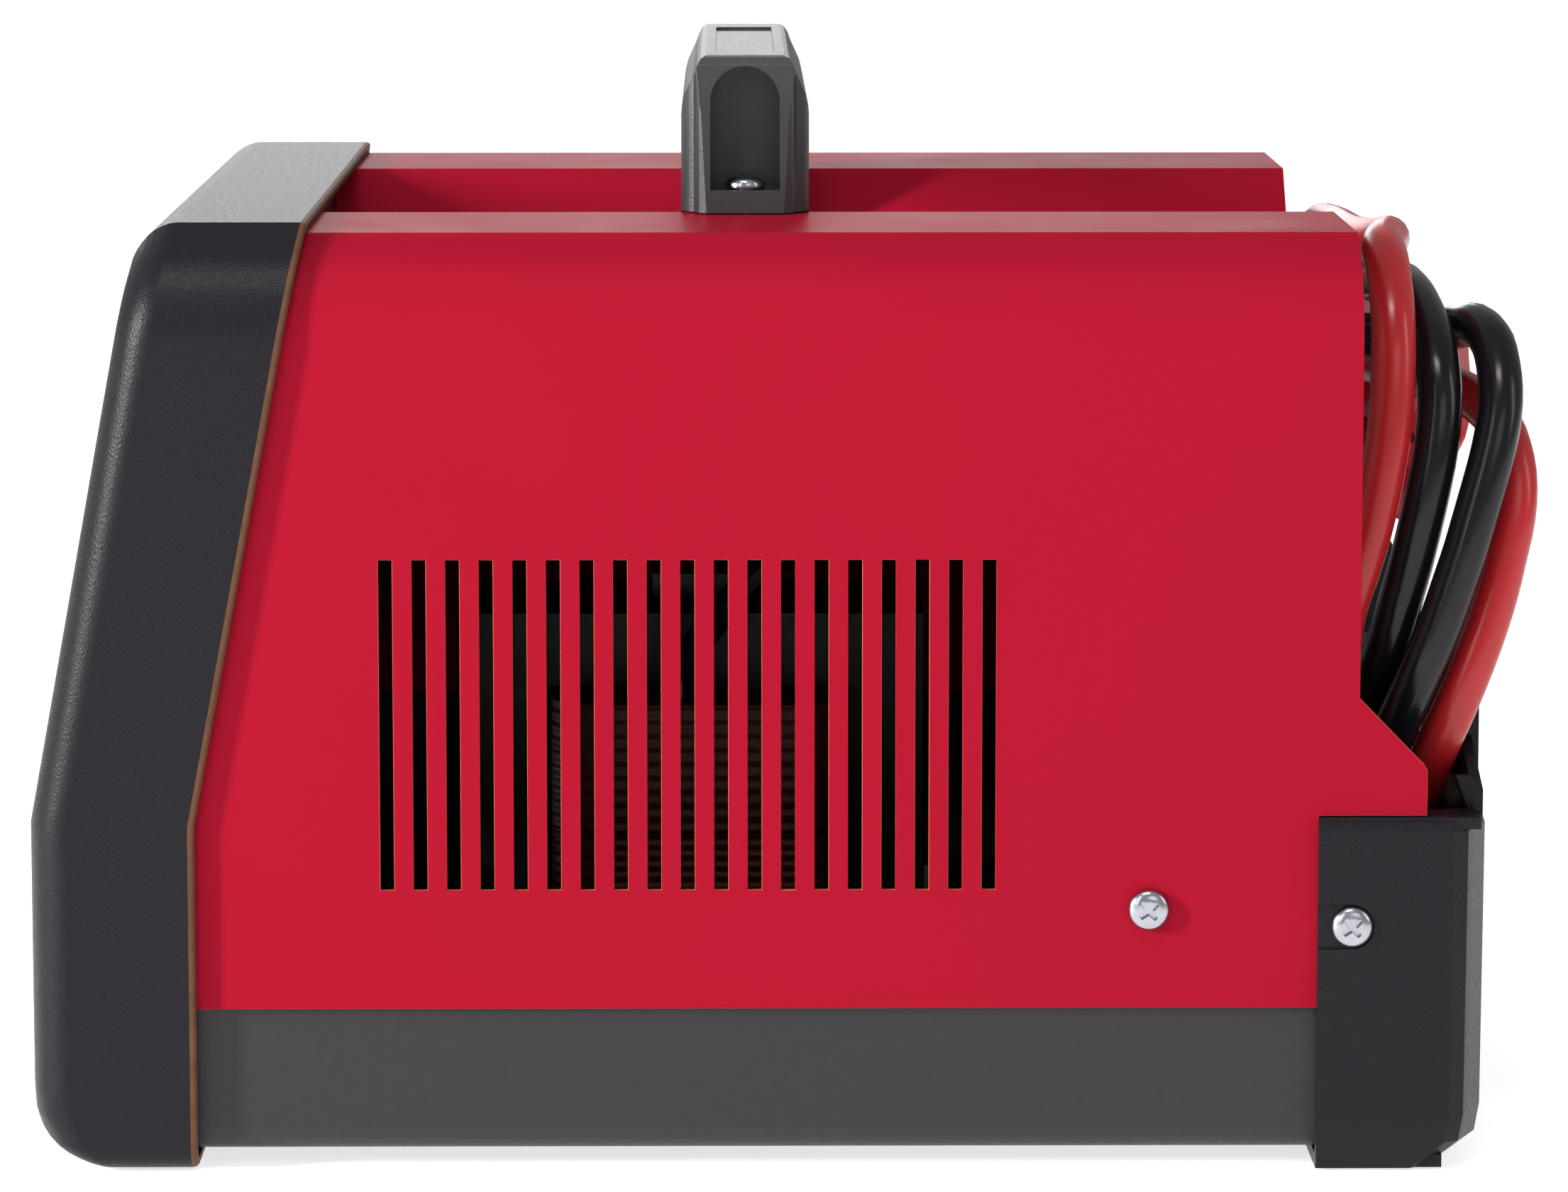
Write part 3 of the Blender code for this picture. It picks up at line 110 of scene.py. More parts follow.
# The leads' routes, as in the CAD
ELECTRODE_ROUTE = [
    (-0.0900, 0.1370, 0.1720), (-0.0896, 0.1431, 0.1721), (-0.0866, 0.1508, 0.1727),
    (-0.0786, 0.1583, 0.1741), (-0.0678, 0.1611, 0.1757), (-0.0573, 0.1585, 0.1765),
    (-0.0475, 0.1538, 0.1762), (-0.0360, 0.1509, 0.1755), (-0.0200, 0.1493, 0.1745),
    (-0.0050, 0.1490, 0.1733), (0.0200, 0.1492, 0.1737), (0.0450, 0.1500, 0.1747),
    (0.0620, 0.1526, 0.1752), (0.0730, 0.1566, 0.1748), (0.0830, 0.1617, 0.1736),
    (0.0940, 0.1675, 0.1715), (0.1075, 0.1720, 0.1671), (0.1150, 0.1742, 0.1598),
    (0.1185, 0.1747, 0.1527), (0.1205, 0.1739, 0.1453), (0.1215, 0.1722, 0.1379),
    (0.1225, 0.1703, 0.1299), (0.1235, 0.1676, 0.1211), (0.1243, 0.1644, 0.1123),
    (0.1240, 0.1607, 0.1028), (0.1222, 0.1571, 0.0938), (0.1180, 0.1548, 0.0857),
    (0.1100, 0.1539, 0.0788), (0.0950, 0.1541, 0.0730), (0.0700, 0.1541, 0.0710),
    (0.0000, 0.1541, 0.0710), (-0.0700, 0.1541, 0.0710), (-0.1000, 0.1538, 0.0740),
    (-0.1220, 0.1530, 0.0860), (-0.1325, 0.1515, 0.1050), (-0.1350, 0.1500, 0.1300),
    (-0.1328, 0.1490, 0.1580), (-0.1235, 0.1482, 0.1820), (-0.0990, 0.1477, 0.1962),
    (-0.0550, 0.1476, 0.2003), (0.0000, 0.1478, 0.2020), (0.0450, 0.1486, 0.2050),
    (0.0740, 0.1488, 0.2078), (0.0920, 0.1459, 0.2075), (0.1060, 0.1456, 0.2042),
    (0.1160, 0.1457, 0.1969), (0.1222, 0.1456, 0.1878), (0.1252, 0.1452, 0.1775),
    (0.1266, 0.1443, 0.1670), (0.1274, 0.1427, 0.1569), (0.1280, 0.1404, 0.1459),
    (0.1284, 0.1376, 0.1361), (0.1286, 0.1340, 0.1240), (0.1285, 0.1324, 0.1080),
    (0.1262, 0.1320, 0.0930), (0.1160, 0.1320, 0.0795), (0.1010, 0.1322, 0.0727),
    (0.0800, 0.1322, 0.0710), (0.0500, 0.1322, 0.0710), (0.0000, 0.1322, 0.0710),
    (-0.0500, 0.1322, 0.0712), (-0.0800, 0.1324, 0.0760), (-0.1000, 0.1340, 0.0900),
    (-0.1085, 0.1390, 0.1080), (-0.1102, 0.1450, 0.1215), (-0.1085, 0.1505, 0.1350),
    (-0.1025, 0.1553, 0.1468), (-0.0935, 0.1578, 0.1538), (-0.0855, 0.1586, 0.1554),
    (-0.0808, 0.1586, 0.1554),
]
WORK_ROUTE = [
    (0.0780, 0.1370, 0.1850), (0.0783, 0.1465, 0.1851), (0.0815, 0.1566, 0.1861),
    (0.0896, 0.1643, 0.1880), (0.1000, 0.1671, 0.1893), (0.1120, 0.1695, 0.1866),
    (0.1195, 0.1704, 0.1804), (0.1240, 0.1703, 0.1738), (0.1268, 0.1692, 0.1670),
    (0.1285, 0.1676, 0.1603), (0.1296, 0.1657, 0.1536), (0.1303, 0.1638, 0.1470),
    (0.1306, 0.1618, 0.1399), (0.1306, 0.1594, 0.1324), (0.1304, 0.1560, 0.1221),
    (0.1297, 0.1527, 0.1138), (0.1272, 0.1493, 0.1047), (0.1225, 0.1462, 0.0954),
    (0.1150, 0.1443, 0.0865), (0.1050, 0.1435, 0.0789), (0.0870, 0.1431, 0.0718),
    (0.0650, 0.1431, 0.0710), (0.0400, 0.1431, 0.0710), (0.0000, 0.1431, 0.0710),
    (-0.0500, 0.1431, 0.0710), (-0.0850, 0.1432, 0.0730), (-0.1080, 0.1438, 0.0830),
    (-0.1195, 0.1450, 0.1000), (-0.1225, 0.1465, 0.1200), (-0.1222, 0.1480, 0.1400),
    (-0.1165, 0.1500, 0.1650), (-0.0995, 0.1512, 0.1830), (-0.0650, 0.1515, 0.1888),
    (-0.0200, 0.1515, 0.1903), (0.0250, 0.1515, 0.1928), (0.0560, 0.1520, 0.1955),
    (0.0760, 0.1523, 0.1969), (0.0930, 0.1535, 0.1950), (0.1060, 0.1552, 0.1899),
    (0.1145, 0.1561, 0.1844), (0.1200, 0.1565, 0.1778), (0.1230, 0.1563, 0.1706),
    (0.1248, 0.1553, 0.1619), (0.1255, 0.1537, 0.1535), (0.1254, 0.1518, 0.1446),
    (0.1246, 0.1498, 0.1356), (0.1234, 0.1475, 0.1265), (0.1212, 0.1453, 0.1172),
    (0.1165, 0.1424, 0.1075), (0.1085, 0.1405, 0.0985), (0.0975, 0.1415, 0.0940),
    (0.0850, 0.1435, 0.0935), (0.0723, 0.1440, 0.0935),
]


# --- Camera, light and floor ---

CAMERA_AT = (1.6344, -0.0075, 0.3357)
CAMERA_PITCH = math.radians(7.796)
CAMERA_YAW = math.radians(0.479)
CAMERA_LENS = 151.42
CAMERA_SENSOR = 36.0
CAMERA_NEAR = 0.05
FLOOR_REACH = 6.0
FLOOR_Z = -0.0006
WORLD_LIGHT = 0.36
# name, place, aim, size, power
LIGHTS = (
    ("front", (0.90, -1.9, 0.7), (0.0, 0.0, 0.12), (0.16, 0.7), 68.0),
    ("key_strip", (1.5, -0.9, 0.9), (0.0, 0.05, 0.12), (0.18, 1.2), 4.0),
    ("side", (2.2, 0.7, 1.2), (0.0, 0.0, 0.1), (1.0, 0.8), 4.0),
    ("overhead", (0.95, -0.2, 1.95), (0.0, 0.0, 0.15), (0.7, 0.22), 10.0),
    ("rear", (0.6, 1.7, 0.9), (0.0, 0.1, 0.12), (0.3, 1.0), 4.0),
    ("back", (-2.5, -0.3, 0.70), (0.0, 0.0, 0.2), (1.4, 0.6), 8.0),
)


def make_camera():
    """A long lens on the +X side, 1.63 m away, looking slightly down."""
    data = bpy.data.cameras.new("camera")
    data.sensor_width = CAMERA_SENSOR
    data.lens = CAMERA_LENS
    data.clip_start = CAMERA_NEAR
    camera = bpy.data.objects.new("camera", data)
    camera.location = CAMERA_AT
    level = math.cos(CAMERA_PITCH)
    forward = Vector((-level * math.cos(CAMERA_YAW), level * math.sin(CAMERA_YAW), -math.sin(CAMERA_PITCH)))
    camera.rotation_euler = forward.to_track_quat("-Z", "Y").to_euler()
    bpy.context.scene.collection.objects.link(camera)
    bpy.context.scene.camera = camera


def area_light(name, place, aim, size, power):
    data = bpy.data.lights.new(name, "AREA")
    data.shape = "RECTANGLE"
    data.size, data.size_y = size
    data.energy = power
    light = bpy.data.objects.new(name, data)
    light.location = place
    light.rotation_euler = (Vector(aim) - Vector(place)).to_track_quat("-Z", "Y").to_euler()
    bpy.context.scene.collection.objects.link(light)


def make_world():
    world = bpy.data.worlds.new("studio")
    world.use_nodes = True
    background = world.node_tree.nodes["Background"]
    background.inputs["Color"].default_value = (1.0, 1.0, 1.0, 1.0)
    background.inputs["Strength"].default_value = WORLD_LIGHT
    bpy.context.scene.world = world


def make_floor():
    r = FLOOR_REACH
    bm = bmesh.new()
    bm.faces.new([bm.verts.new((x, y, FLOOR_Z)) for x, y in ((-r, -r), (r, -r), (r, r), (-r, r))])
    mesh = bpy.data.meshes.new("floor")
    bm.to_mesh(mesh)
    bm.free()
    floor = bpy.data.objects.new("floor", mesh)
    bpy.context.scene.collection.objects.link(floor)
    mesh.materials.append(finish("studio_floor"))


def make_studio():
    bpy.context.scene.view_settings.view_transform = "Standard"
    make_world()
    for name, *facts in LIGHTS:
        area_light(name, *facts)
    make_floor()


# --- Materials ---

# base colour, roughness and its spread, patches of lighter and darker colour as (size in metres, share),
# and bumps as (kind, size, height in metres). Where given: metallic, gloss (specular level), coat and glow.
FINISHES = {
    "red_paint": dict(
        colour=(0.305, 0.0060, 0.0205), rough=0.45, spread=0.06,
        gloss=0.02, patch=(0.05, 0.04),
        bumps=(("noise", 0.0016, 0.000012), ("noise", 0.012, 0.00003)),
    ),
    "cut_edge": dict(
        colour=(0.62, 0.20, 0.045), rough=0.45, spread=0.1,
        metallic=0.3, patch=(0.004, 0.30),
        bumps=(("noise", 0.0006, 0.00002),),
    ),
    "black_plastic": dict(
        colour=(0.0085, 0.0078, 0.0105), rough=0.38, spread=0.10,
        gloss=0.17, patch=(0.0022, 0.16),
        bumps=(("cells", 0.0010, 0.00010), ("noise", 0.0005, 0.00003)),
    ),
    "rim": dict(
        colour=(0.110, 0.050, 0.026), rough=0.55, spread=0.08,
        gloss=0.10, patch=(0.004, 0.35),
        bumps=(("noise", 0.0008, 0.00002),),
    ),
    "base_plastic": dict(
        colour=(0.020, 0.019, 0.022), rough=0.46, spread=0.10,
        gloss=0.34, patch=(0.003, 0.15),
        bumps=(("cells", 0.0012, 0.00004),),
    ),
    "handle_plastic": dict(
        colour=(0.030, 0.029, 0.033), rough=0.38, spread=0.10,
        gloss=0.50, patch=(0.0020, 0.14),
        bumps=(("cells", 0.0010, 0.00004), ("noise", 0.0004, 0.000012)),
    ),
    "panel_plastic": dict(
        colour=(0.026, 0.026, 0.029), rough=0.46, spread=0.08,
        patch=(0.0022, 0.14),
        bumps=(("cells", 0.0011, 0.00004),),
    ),
    "knob_plastic": dict(
        colour=(0.020, 0.020, 0.022), rough=0.34, spread=0.08,
        patch=(0.004, 0.12),
        bumps=(("noise", 0.0008, 0.00001),),
    ),
    "zinc": dict(
        colour=(0.42, 0.43, 0.47), rough=0.25, spread=0.10,
        metallic=1.0, patch=(0.003, 0.12),
        bumps=(("noise", 0.0009, 0.000012),),
    ),
    "plated_sheet": dict(
        colour=(0.50, 0.50, 0.49), rough=0.42, spread=0.10,
        metallic=1.0, patch=(0.008, 0.18),
        bumps=(("noise", 0.0012, 0.000010),),
    ),
    "core_steel": dict(
        colour=(0.020, 0.020, 0.022), rough=0.50, spread=0.12,
        metallic=0.3, patch=(0.006, 0.25),
        bumps=(("layers", 0.0011, 0.00010), ("noise", 0.0015, 0.00001)),
    ),
    # The inner winding, in the same varnish
    "copper": dict(
        colour=(0.110, 0.022, 0.012), rough=0.42, spread=0.10,
        metallic=0.3, patch=(0.006, 0.20),
        bumps=(("turns", 0.0026, 0.00030),),
    ),
    # The outer winding, in dark red varnish
    "aluminium": dict(
        colour=(0.085, 0.018, 0.014), rough=0.45, spread=0.10,
        metallic=0.2, patch=(0.006, 0.25),
        bumps=(("turns", 0.0034, 0.00035),),
    ),
    "red_rubber": dict(
        colour=(0.420, 0.014, 0.018), rough=0.26, spread=0.10,
        gloss=0.40, patch=(0.020, 0.10),
        bumps=(("noise", 0.0018, 0.000012), ("noise", 0.010, 0.00004)),
    ),
    "black_rubber": dict(
        colour=(0.006, 0.006, 0.008), rough=0.22, spread=0.12,
        gloss=0.30, patch=(0.012, 0.30),
        bumps=(("noise", 0.0016, 0.000014), ("noise", 0.010, 0.00004)),
    ),
    "red_plastic": dict(
        colour=(0.540, 0.012, 0.030), rough=0.25, spread=0.08,
        coat=0.2, patch=(0.010, 0.08),
        bumps=(("noise", 0.0020, 0.00001),),
    ),
    "grip_rubber": dict(
        colour=(0.022, 0.022, 0.024), rough=0.55, spread=0.10,
        patch=(0.004, 0.15),
        bumps=(("cells", 0.0010, 0.00004),),
    ),
    "fan_plastic": dict(
        colour=(0.050, 0.050, 0.052), rough=0.45, spread=0.08,
        patch=(0.006, 0.12),
        bumps=(("noise", 0.0012, 0.00001),),
    ),
    "lens": dict(
        colour=(0.80, 0.33, 0.03), rough=0.12, spread=0.04,
        coat=0.3, patch=(0.004, 0.15),
        bumps=(("noise", 0.0010, 0.00001),),
    ),
    "brass": dict(
        colour=(0.66, 0.45, 0.18), rough=0.32, spread=0.10,
        metallic=1.0, patch=(0.005, 0.18),
        bumps=(("noise", 0.0010, 0.000015),),
    ),
    "steel": dict(
        colour=(0.52, 0.53, 0.55), rough=0.33, spread=0.10,
        metallic=1.0, patch=(0.006, 0.16),
        bumps=(("noise", 0.0010, 0.000015),),
    ),
    "studio_floor": dict(
        colour=(0.80, 0.80, 0.80), rough=0.7, spread=0.02,
        gloss=0.1, glow=0.72, patch=(0.5, 0.01),
        bumps=(("noise", 0.05, 0.00001),),
    ),
}


def texture(tree, kind, size, where):
    """A pattern of about that size, from 0 to 1."""
    if kind == "cells":
        node = tree.nodes.new("ShaderNodeTexVoronoi")
        node.feature = "DISTANCE_TO_EDGE"
        node.inputs["Scale"].default_value = 1 / size
        tree.links.new(where, node.inputs["Vector"])
        return node.outputs["Distance"]
    if kind in ("layers", "turns"):
        node = tree.nodes.new("ShaderNodeTexWave")
        node.wave_type = "BANDS"
        node.bands_direction = "X" if kind == "layers" else "Z"
        node.inputs["Scale"].default_value = BAND_PERIOD / size
        node.inputs["Distortion"].default_value = 0.4
        node.inputs["Detail Scale"].default_value = 2.0
        tree.links.new(where, node.inputs["Vector"])
        return node.outputs["Fac"]
    node = tree.nodes.new("ShaderNodeTexNoise")
    node.inputs["Scale"].default_value = 1 / size
    node.inputs["Detail"].default_value = 3.0
    tree.links.new(where, node.inputs["Vector"])
    return node.outputs["Fac"]


def mottled_colour(tree, shader, facts, where):
    """Blends a lighter and a darker shade of the colour in soft patches."""
    size, share = facts["patch"]
    mix = tree.nodes.new("ShaderNodeMix")
    mix.data_type = "RGBA"
    mix.inputs[6].default_value = (*[c * (1 - share) for c in facts["colour"]], 1.0)
    mix.inputs[7].default_value = (*[min(1.0, c * (1 + share)) for c in facts["colour"]], 1.0)
    tree.links.new(texture(tree, "noise", size, where), mix.inputs[0])
    tree.links.new(mix.outputs[2], shader.inputs["Base Color"])


def uneven_roughness(tree, shader, facts, where):
    span = tree.nodes.new("ShaderNodeMapRange")
    span.inputs["To Min"].default_value = facts["rough"] - facts["spread"]
    span.inputs["To Max"].default_value = facts["rough"] + facts["spread"]
    tree.links.new(texture(tree, "noise", facts["patch"][0] * 0.6, where), span.inputs["Value"])
    tree.links.new(span.outputs["Result"], shader.inputs["Roughness"])


def surface_bumps(tree, shader, facts, where):
    normal = None
    for kind, size, height in facts["bumps"]:
        bump = tree.nodes.new("ShaderNodeBump")
        bump.inputs["Strength"].default_value = 1.0
        bump.inputs["Distance"].default_value = height
        tree.links.new(texture(tree, kind, size, where), bump.inputs["Height"])
        if normal:
            tree.links.new(normal, bump.inputs["Normal"])
        normal = bump.outputs["Normal"]
    tree.links.new(normal, shader.inputs["Normal"])


def finish(name):
    """The material of that name, made once."""
    found = bpy.data.materials.get("look_" + name)
    if found:
        return found
    facts = FINISHES[name]
    made = bpy.data.materials.new("look_" + name)
    made.use_nodes = True
    tree = made.node_tree
    shader = tree.nodes["Principled BSDF"]
    shader.inputs["Metallic"].default_value = facts.get("metallic", 0.0)
    shader.inputs["Specular IOR Level"].default_value = facts.get("gloss", 0.5)
    shader.inputs["Coat Weight"].default_value = facts.get("coat", 0.0)
    shader.inputs["Coat Roughness"].default_value = 0.25
    shader.inputs["Emission Color"].default_value = (1.0, 1.0, 1.0, 1.0)
    shader.inputs["Emission Strength"].default_value = facts.get("glow", 0.0)
    where = tree.nodes.new("ShaderNodeTexCoord").outputs["Object"]
    mottled_colour(tree, shader, facts, where)
    uneven_roughness(tree, shader, facts, where)
    surface_bumps(tree, shader, facts, where)
    return made


# --- Modelling tools ---


def from_bmesh(name, bm, look):
    bmesh.ops.recalc_face_normals(bm, faces=bm.faces)
    mesh = bpy.data.meshes.new(name)
    bm.to_mesh(mesh)
    bm.free()
    mesh.materials.append(finish(look))
    obj = bpy.data.objects.new(name, mesh)
    bpy.context.scene.collection.objects.link(obj)
    return obj


def loft(name, rings, look, hollow=False):
    """Joins rings of equally many points. The ends are capped or, when hollow, joined to each other."""
    bm = bmesh.new()
    rows = [[bm.verts.new(point) for point in ring] for ring in rings]
    count = len(rows[0])
    pairs = list(zip(rows, rows[1:]))
    if hollow:
        pairs.append((rows[-1], rows[0]))
    else:
        bm.faces.new(rows[0])
        bm.faces.new(list(reversed(rows[-1])))
    for first, second in pairs:
        for i in range(count):
            j = (i + 1) % count
            bm.faces.new((first[i], first[j], second[j], second[i]))
    return from_bmesh(name, bm, look)


def place(axis, flat, along):
    """A point from its two coordinates across an axis and its one along it."""
    point = list(flat)
    point.insert("XYZ".index(axis), along)
    return tuple(point)


def prism(name, outline, axis, low, high, look="steel"):
    return loft(name, [[place(axis, p, y) for p in outline] for y in (low, high)], look)


def box(name, x, y, z, look="steel"):
    corners = [(x[0], y[0]), (x[1], y[0]), (x[1], y[1]), (x[0], y[1])]
    return prism(name, corners, "Z", z[0], z[1], look)


def circle(radius, sides, centre=(0.0, 0.0)):
    steps = [2 * math.pi * i / sides for i in range(sides)]
    return [(centre[0] + radius * math.cos(a), centre[1] + radius * math.sin(a)) for a in steps]


def arc(centre, radius, start, end, steps):
    angles = [math.radians(start + (end - start) * i / steps) for i in range(steps + 1)]
    return [(centre[0] + radius * math.cos(a), centre[1] + radius * math.sin(a)) for a in angles]


def turned(name, profile, axis, centre, sides, look):
    flat = [c for i, c in enumerate(centre) if i != "XYZ".index(axis)]
    base = centre["XYZ".index(axis)]
    rings = [[place(axis, p, base + along) for p in circle(r, sides, flat)] for r, along in profile]
    return loft(name, rings, look)


def bake(obj):
    """Makes the object's modifiers part of its mesh."""
    bpy.context.view_layer.update()
    graph = bpy.context.evaluated_depsgraph_get()
    mesh = bpy.data.meshes.new_from_object(obj.evaluated_get(graph))
    obj.modifiers.clear()
    obj.data = mesh


def combine(target, others, operation):
    for other in others:
        modifier = target.modifiers.new("shape", "BOOLEAN")
        modifier.operation = operation
        modifier.object = other
        bake(target)
        bpy.data.objects.remove(other, do_unlink=True)
    return target


def cut(target, *others):
    return combine(target, others, "DIFFERENCE")


def join(target, *others):
    return combine(target, others, "UNION")


def common(target, *others):
    return combine(target, others, "INTERSECT")


def mirrored(points):
    """An outline from its +X half."""
    return points + [(-x, z) for x, z in reversed(points)]


def offset_line(points, distance):
    """A line moved sideways, to the left of its direction, with mitred corners."""
    moved = []
    for i, point in enumerate(points):
        here = Vector(point)
        before = (here - Vector(points[i - 1])).normalized() if i else None
        after = (Vector(points[i + 1]) - here).normalized() if i + 1 < len(points) else None
        before = before or after
        after = after or before
        normal = Vector((-before.y - after.y, before.x + after.x)).normalized()
        side = Vector((-before.y, before.x))
        moved.append(tuple(here + normal * distance / max(normal.dot(side), 0.3)))
    return moved


def soften(obj, width, segments=2, limit=30, sharp=40):
    """Rounds the edges a little, with the flat faces kept flat in the shading."""
    if width:
        bevel = obj.modifiers.new("edges", "BEVEL")
        bevel.width = width
        bevel.segments = segments
        bevel.limit_method = "ANGLE"
        bevel.angle_limit = math.radians(limit)
        bevel.miter_outer = "MITER_ARC"
        bake(obj)
    obj.data.shade_smooth()
    obj.data.set_sharp_from_angle(angle=math.radians(sharp))
    weighted = obj.modifiers.new("normals", "WEIGHTED_NORMAL")
    weighted.keep_sharp = True
    weighted.weight = 80
    bake(obj)
    return obj


def body_of(node):
    for name, members in frame["record"]["behaviour"]["bodies"].items():
        if node in members:
            return name
    raise KeyError(node)


def stand_in(obj, *nodes):
    """This piece stands for these CAD nodes, and moves with their body."""
    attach(obj, body_of(nodes[0]))
    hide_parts(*nodes)
    return obj


def refined(node, look, width, segments=2, limit=30):
    """A CAD node with its edges rounded."""
    bm = bmesh.new()
    bm.from_mesh(NODES[node].data)
    bmesh.ops.remove_doubles(bm, verts=bm.verts, dist=WELD_DISTANCE)
    bmesh.ops.dissolve_limit(bm, angle_limit=math.radians(0.6), verts=bm.verts, edges=bm.edges)
    obj = from_bmesh(node + "_look", bm, look)
    soften(obj, width, segments, limit)
    return stand_in(obj, node)


# --- Leads ---


def smooth_curve(points):
    """Close-set points on a smooth curve through the given points."""
    line = [Vector(p) for p in points]
    line = [2 * line[0] - line[1], *line, 2 * line[-1] - line[-2]]
    fine = []
    for p0, p1, p2, p3 in zip(line, line[1:], line[2:], line[3:]):
        for step in range(16):
            t = step / 16
            slope = (p2 - p0) * t
            bend = (2 * p0 - 5 * p1 + 4 * p2 - p3) * t**2
            twist = (3 * p1 - p0 - 3 * p2 + p3) * t**3
            fine.append(0.5 * (2 * p1 + slope + bend + twist))
    fine.append(line[-2])
    return fine


def smooth_route(points, spacing):
    """Points at an even spacing along the smooth curve, and the curve's length."""
    fine = smooth_curve(points)
    lengths = [0.0]
    for a, b in zip(fine, fine[1:]):
        lengths.append(lengths[-1] + (b - a).length)
    count = max(2, round(lengths[-1] / spacing))
    made = []
    k = 0
    for i in range(count + 1):
        goal = lengths[-1] * i / count
        while k < len(lengths) - 2 and lengths[k + 1] < goal:
            k += 1
        share = (goal - lengths[k]) / (lengths[k + 1] - lengths[k])
        made.append(fine[k].lerp(fine[k + 1], share))
    return made, lengths[-1]


def make_lead(node, points, look):
    """A round cord along the route."""
    route, length = smooth_route(points, LEAD_STEP)
    data = bpy.data.curves.new(node + "_look", "CURVE")
    data.dimensions = "3D"
    data.bevel_depth = LEAD_R
    data.bevel_resolution = 7
    data.use_fill_caps = True
    spline = data.splines.new("POLY")
    spline.points.add(len(route) - 1)
    for target, point in zip(spline.points, route):
        target.co = (*point, 1.0)
    spline.use_smooth = True
    data.materials.append(finish(look))
    lead = bpy.data.objects.new(node + "_look", data)
    bpy.context.scene.collection.objects.link(lead)
    stand_in(lead, node)


# --- Casing ---


def front_y(z):
    """Where the bezel's front face is at that height."""
    if z < 0.018:
        return FRONT_Y + 0.009 * (1 - z / 0.018) ** 2.2
    return FRONT_Y + max(0.0, z - KINK_Z) * FRONT_LEAN


def bezel_rear_y(z):
    """Where the bezel's rear edge is at that height."""
    return BEZEL_REAR_Y + max(0.0, z - KINK_Z) * BEZEL_REAR_LEAN


def cover_line():
    """The cover's outer skin from the front: side, shoulder, ridge, trough, and the same again."""
    floor_z = RIDGE_Z - TROUGH_DEPTH
    right = [(SIDE_X, COVER_BOTTOM_Z)]
    right += arc(SHOULDER, SHOULDER_R, 0, SHOULDER_TURN, 24)
    right += [(CREASE_X + 0.0012, RIDGE_Z - 0.0005)]
    right += [(CREASE_X, RIDGE_Z - 0.0001), (CREASE_X - 0.0014, RIDGE_Z)]
    bend = 0.0028
    right += arc((TROUGH_X + bend * 0.414, RIDGE_Z - bend), bend, 90, 135, 5)
    foot = TROUGH_X - TROUGH_DEPTH
    right += list(reversed(arc((foot - bend * 0.414, floor_z + bend), bend, 270, 315, 5)))
    return mirrored(right)


def gap_to(spot, a, b):
    """The distance from a spot to the line between a and b."""
    along = b - a
    share = max(0.0, min(1.0, (spot - a).dot(along) / max(along.length_squared, 1e-12)))
    return (spot - a - along * share).length


def sheet_edges(mesh, line):
    """Marks the faces between the sheet's two skins, where the cut metal shows."""
    segments = [(Vector(a), Vector(b)) for a, b in zip(line, line[1:])]
    for face in mesh.polygons:
        spot = Vector((face.center.x, face.center.z))
        depth = min(gap_to(spot, a, b) for a, b in segments)
        if 0.0002 < depth < SHEET - 0.0002:
            face.material_index = 1


def bare_edges(mesh):
    """Shows the cut metal along the cover's lower edge and its rear notch."""
    for face in mesh.polygons:
        low = face.center.z < COVER_BOTTOM_Z + 0.0004
        notch = face.center.y > COVER_REAR_Y - 0.0004 and face.center.z < NOTCH_TOP_Z + 0.001
        if (low or notch) and abs(face.normal.x) < 0.9 and face.area < 0.0002:
            face.material_index = 1


def cut_rear_corner(cover):
    """Steps the cover's rear edge in above the notch, and clears the rear tray below it."""
    above = [(COVER_REAR_Y, 0.25), (COVER_REAR_Y, NOTCH_TOP_Z)]
    above += [(NOTCH_Y - 0.0022, 0.0952), (NOTCH_Y - 0.0008, 0.0938), (NOTCH_Y - 0.0001, 0.0925)]
    above += [(NOTCH_Y + 0.01, 0.0920), (NOTCH_Y + 0.01, 0.25)]
    below = [(TRAY_FRONT_Y, NOTCH_Z), (0.17, NOTCH_Z), (0.17, 0.02), (TRAY_FRONT_Y, 0.02)]
    cut(cover, prism("above", above, "X", -0.2, 0.2), prism("below", below, "X", -0.2, 0.2))


def make_cover():
    outer = cover_line()
    outline = outer + offset_line(outer, SHEET)[::-1]
    rings = [
        [(x, bezel_rear_y(z) - 0.012, z) for x, z in outline],
        [(x, NOTCH_Y, z) for x, z in outline],
    ]
    cover = loft("cover_look", rings, "red_paint")
    cover.data.materials.append(finish("cut_edge"))
    cut_rear_corner(cover)
    for i in range(VENT_COUNT):
        y = VENT_START_Y + i * VENT_PITCH
        cut(cover, box("vent", (0.1, 0.2), (y, y + VENT_WIDTH), VENT_Z))
    sheet_edges(cover.data, outer)
    soften(cover, 0.00025, 1, 50, 40)
    bare_edges(cover.data)
    return stand_in(cover, "wraparound_cover")


def bezel_outline(inset):
    """The bezel from the front, drawn in by that much."""
    side = BEZEL_SIDE_X - inset
    radius = BEZEL_SIDE_X - SHOULDER[0] - inset
    foot_r = max(0.006 - inset, 0.001)
    foot = (side - foot_r, inset + foot_r)
    right = arc(foot, foot_r, -90, 0, 6)
    right += [(side, 0.012 + inset * 0.2), (side, 0.018 + inset * 0.2)]
    right += [(side, KINK_Z - 0.004), (side, KINK_Z), (side, KINK_Z + 0.004), (side, 0.135)]
    right += arc(SHOULDER, radius, 0, SHOULDER_TURN, 20)
    right += [(CREASE_X + 0.003 - inset * 0.3, BEZEL_TOP_Z - inset)]
    return mirrored(right)


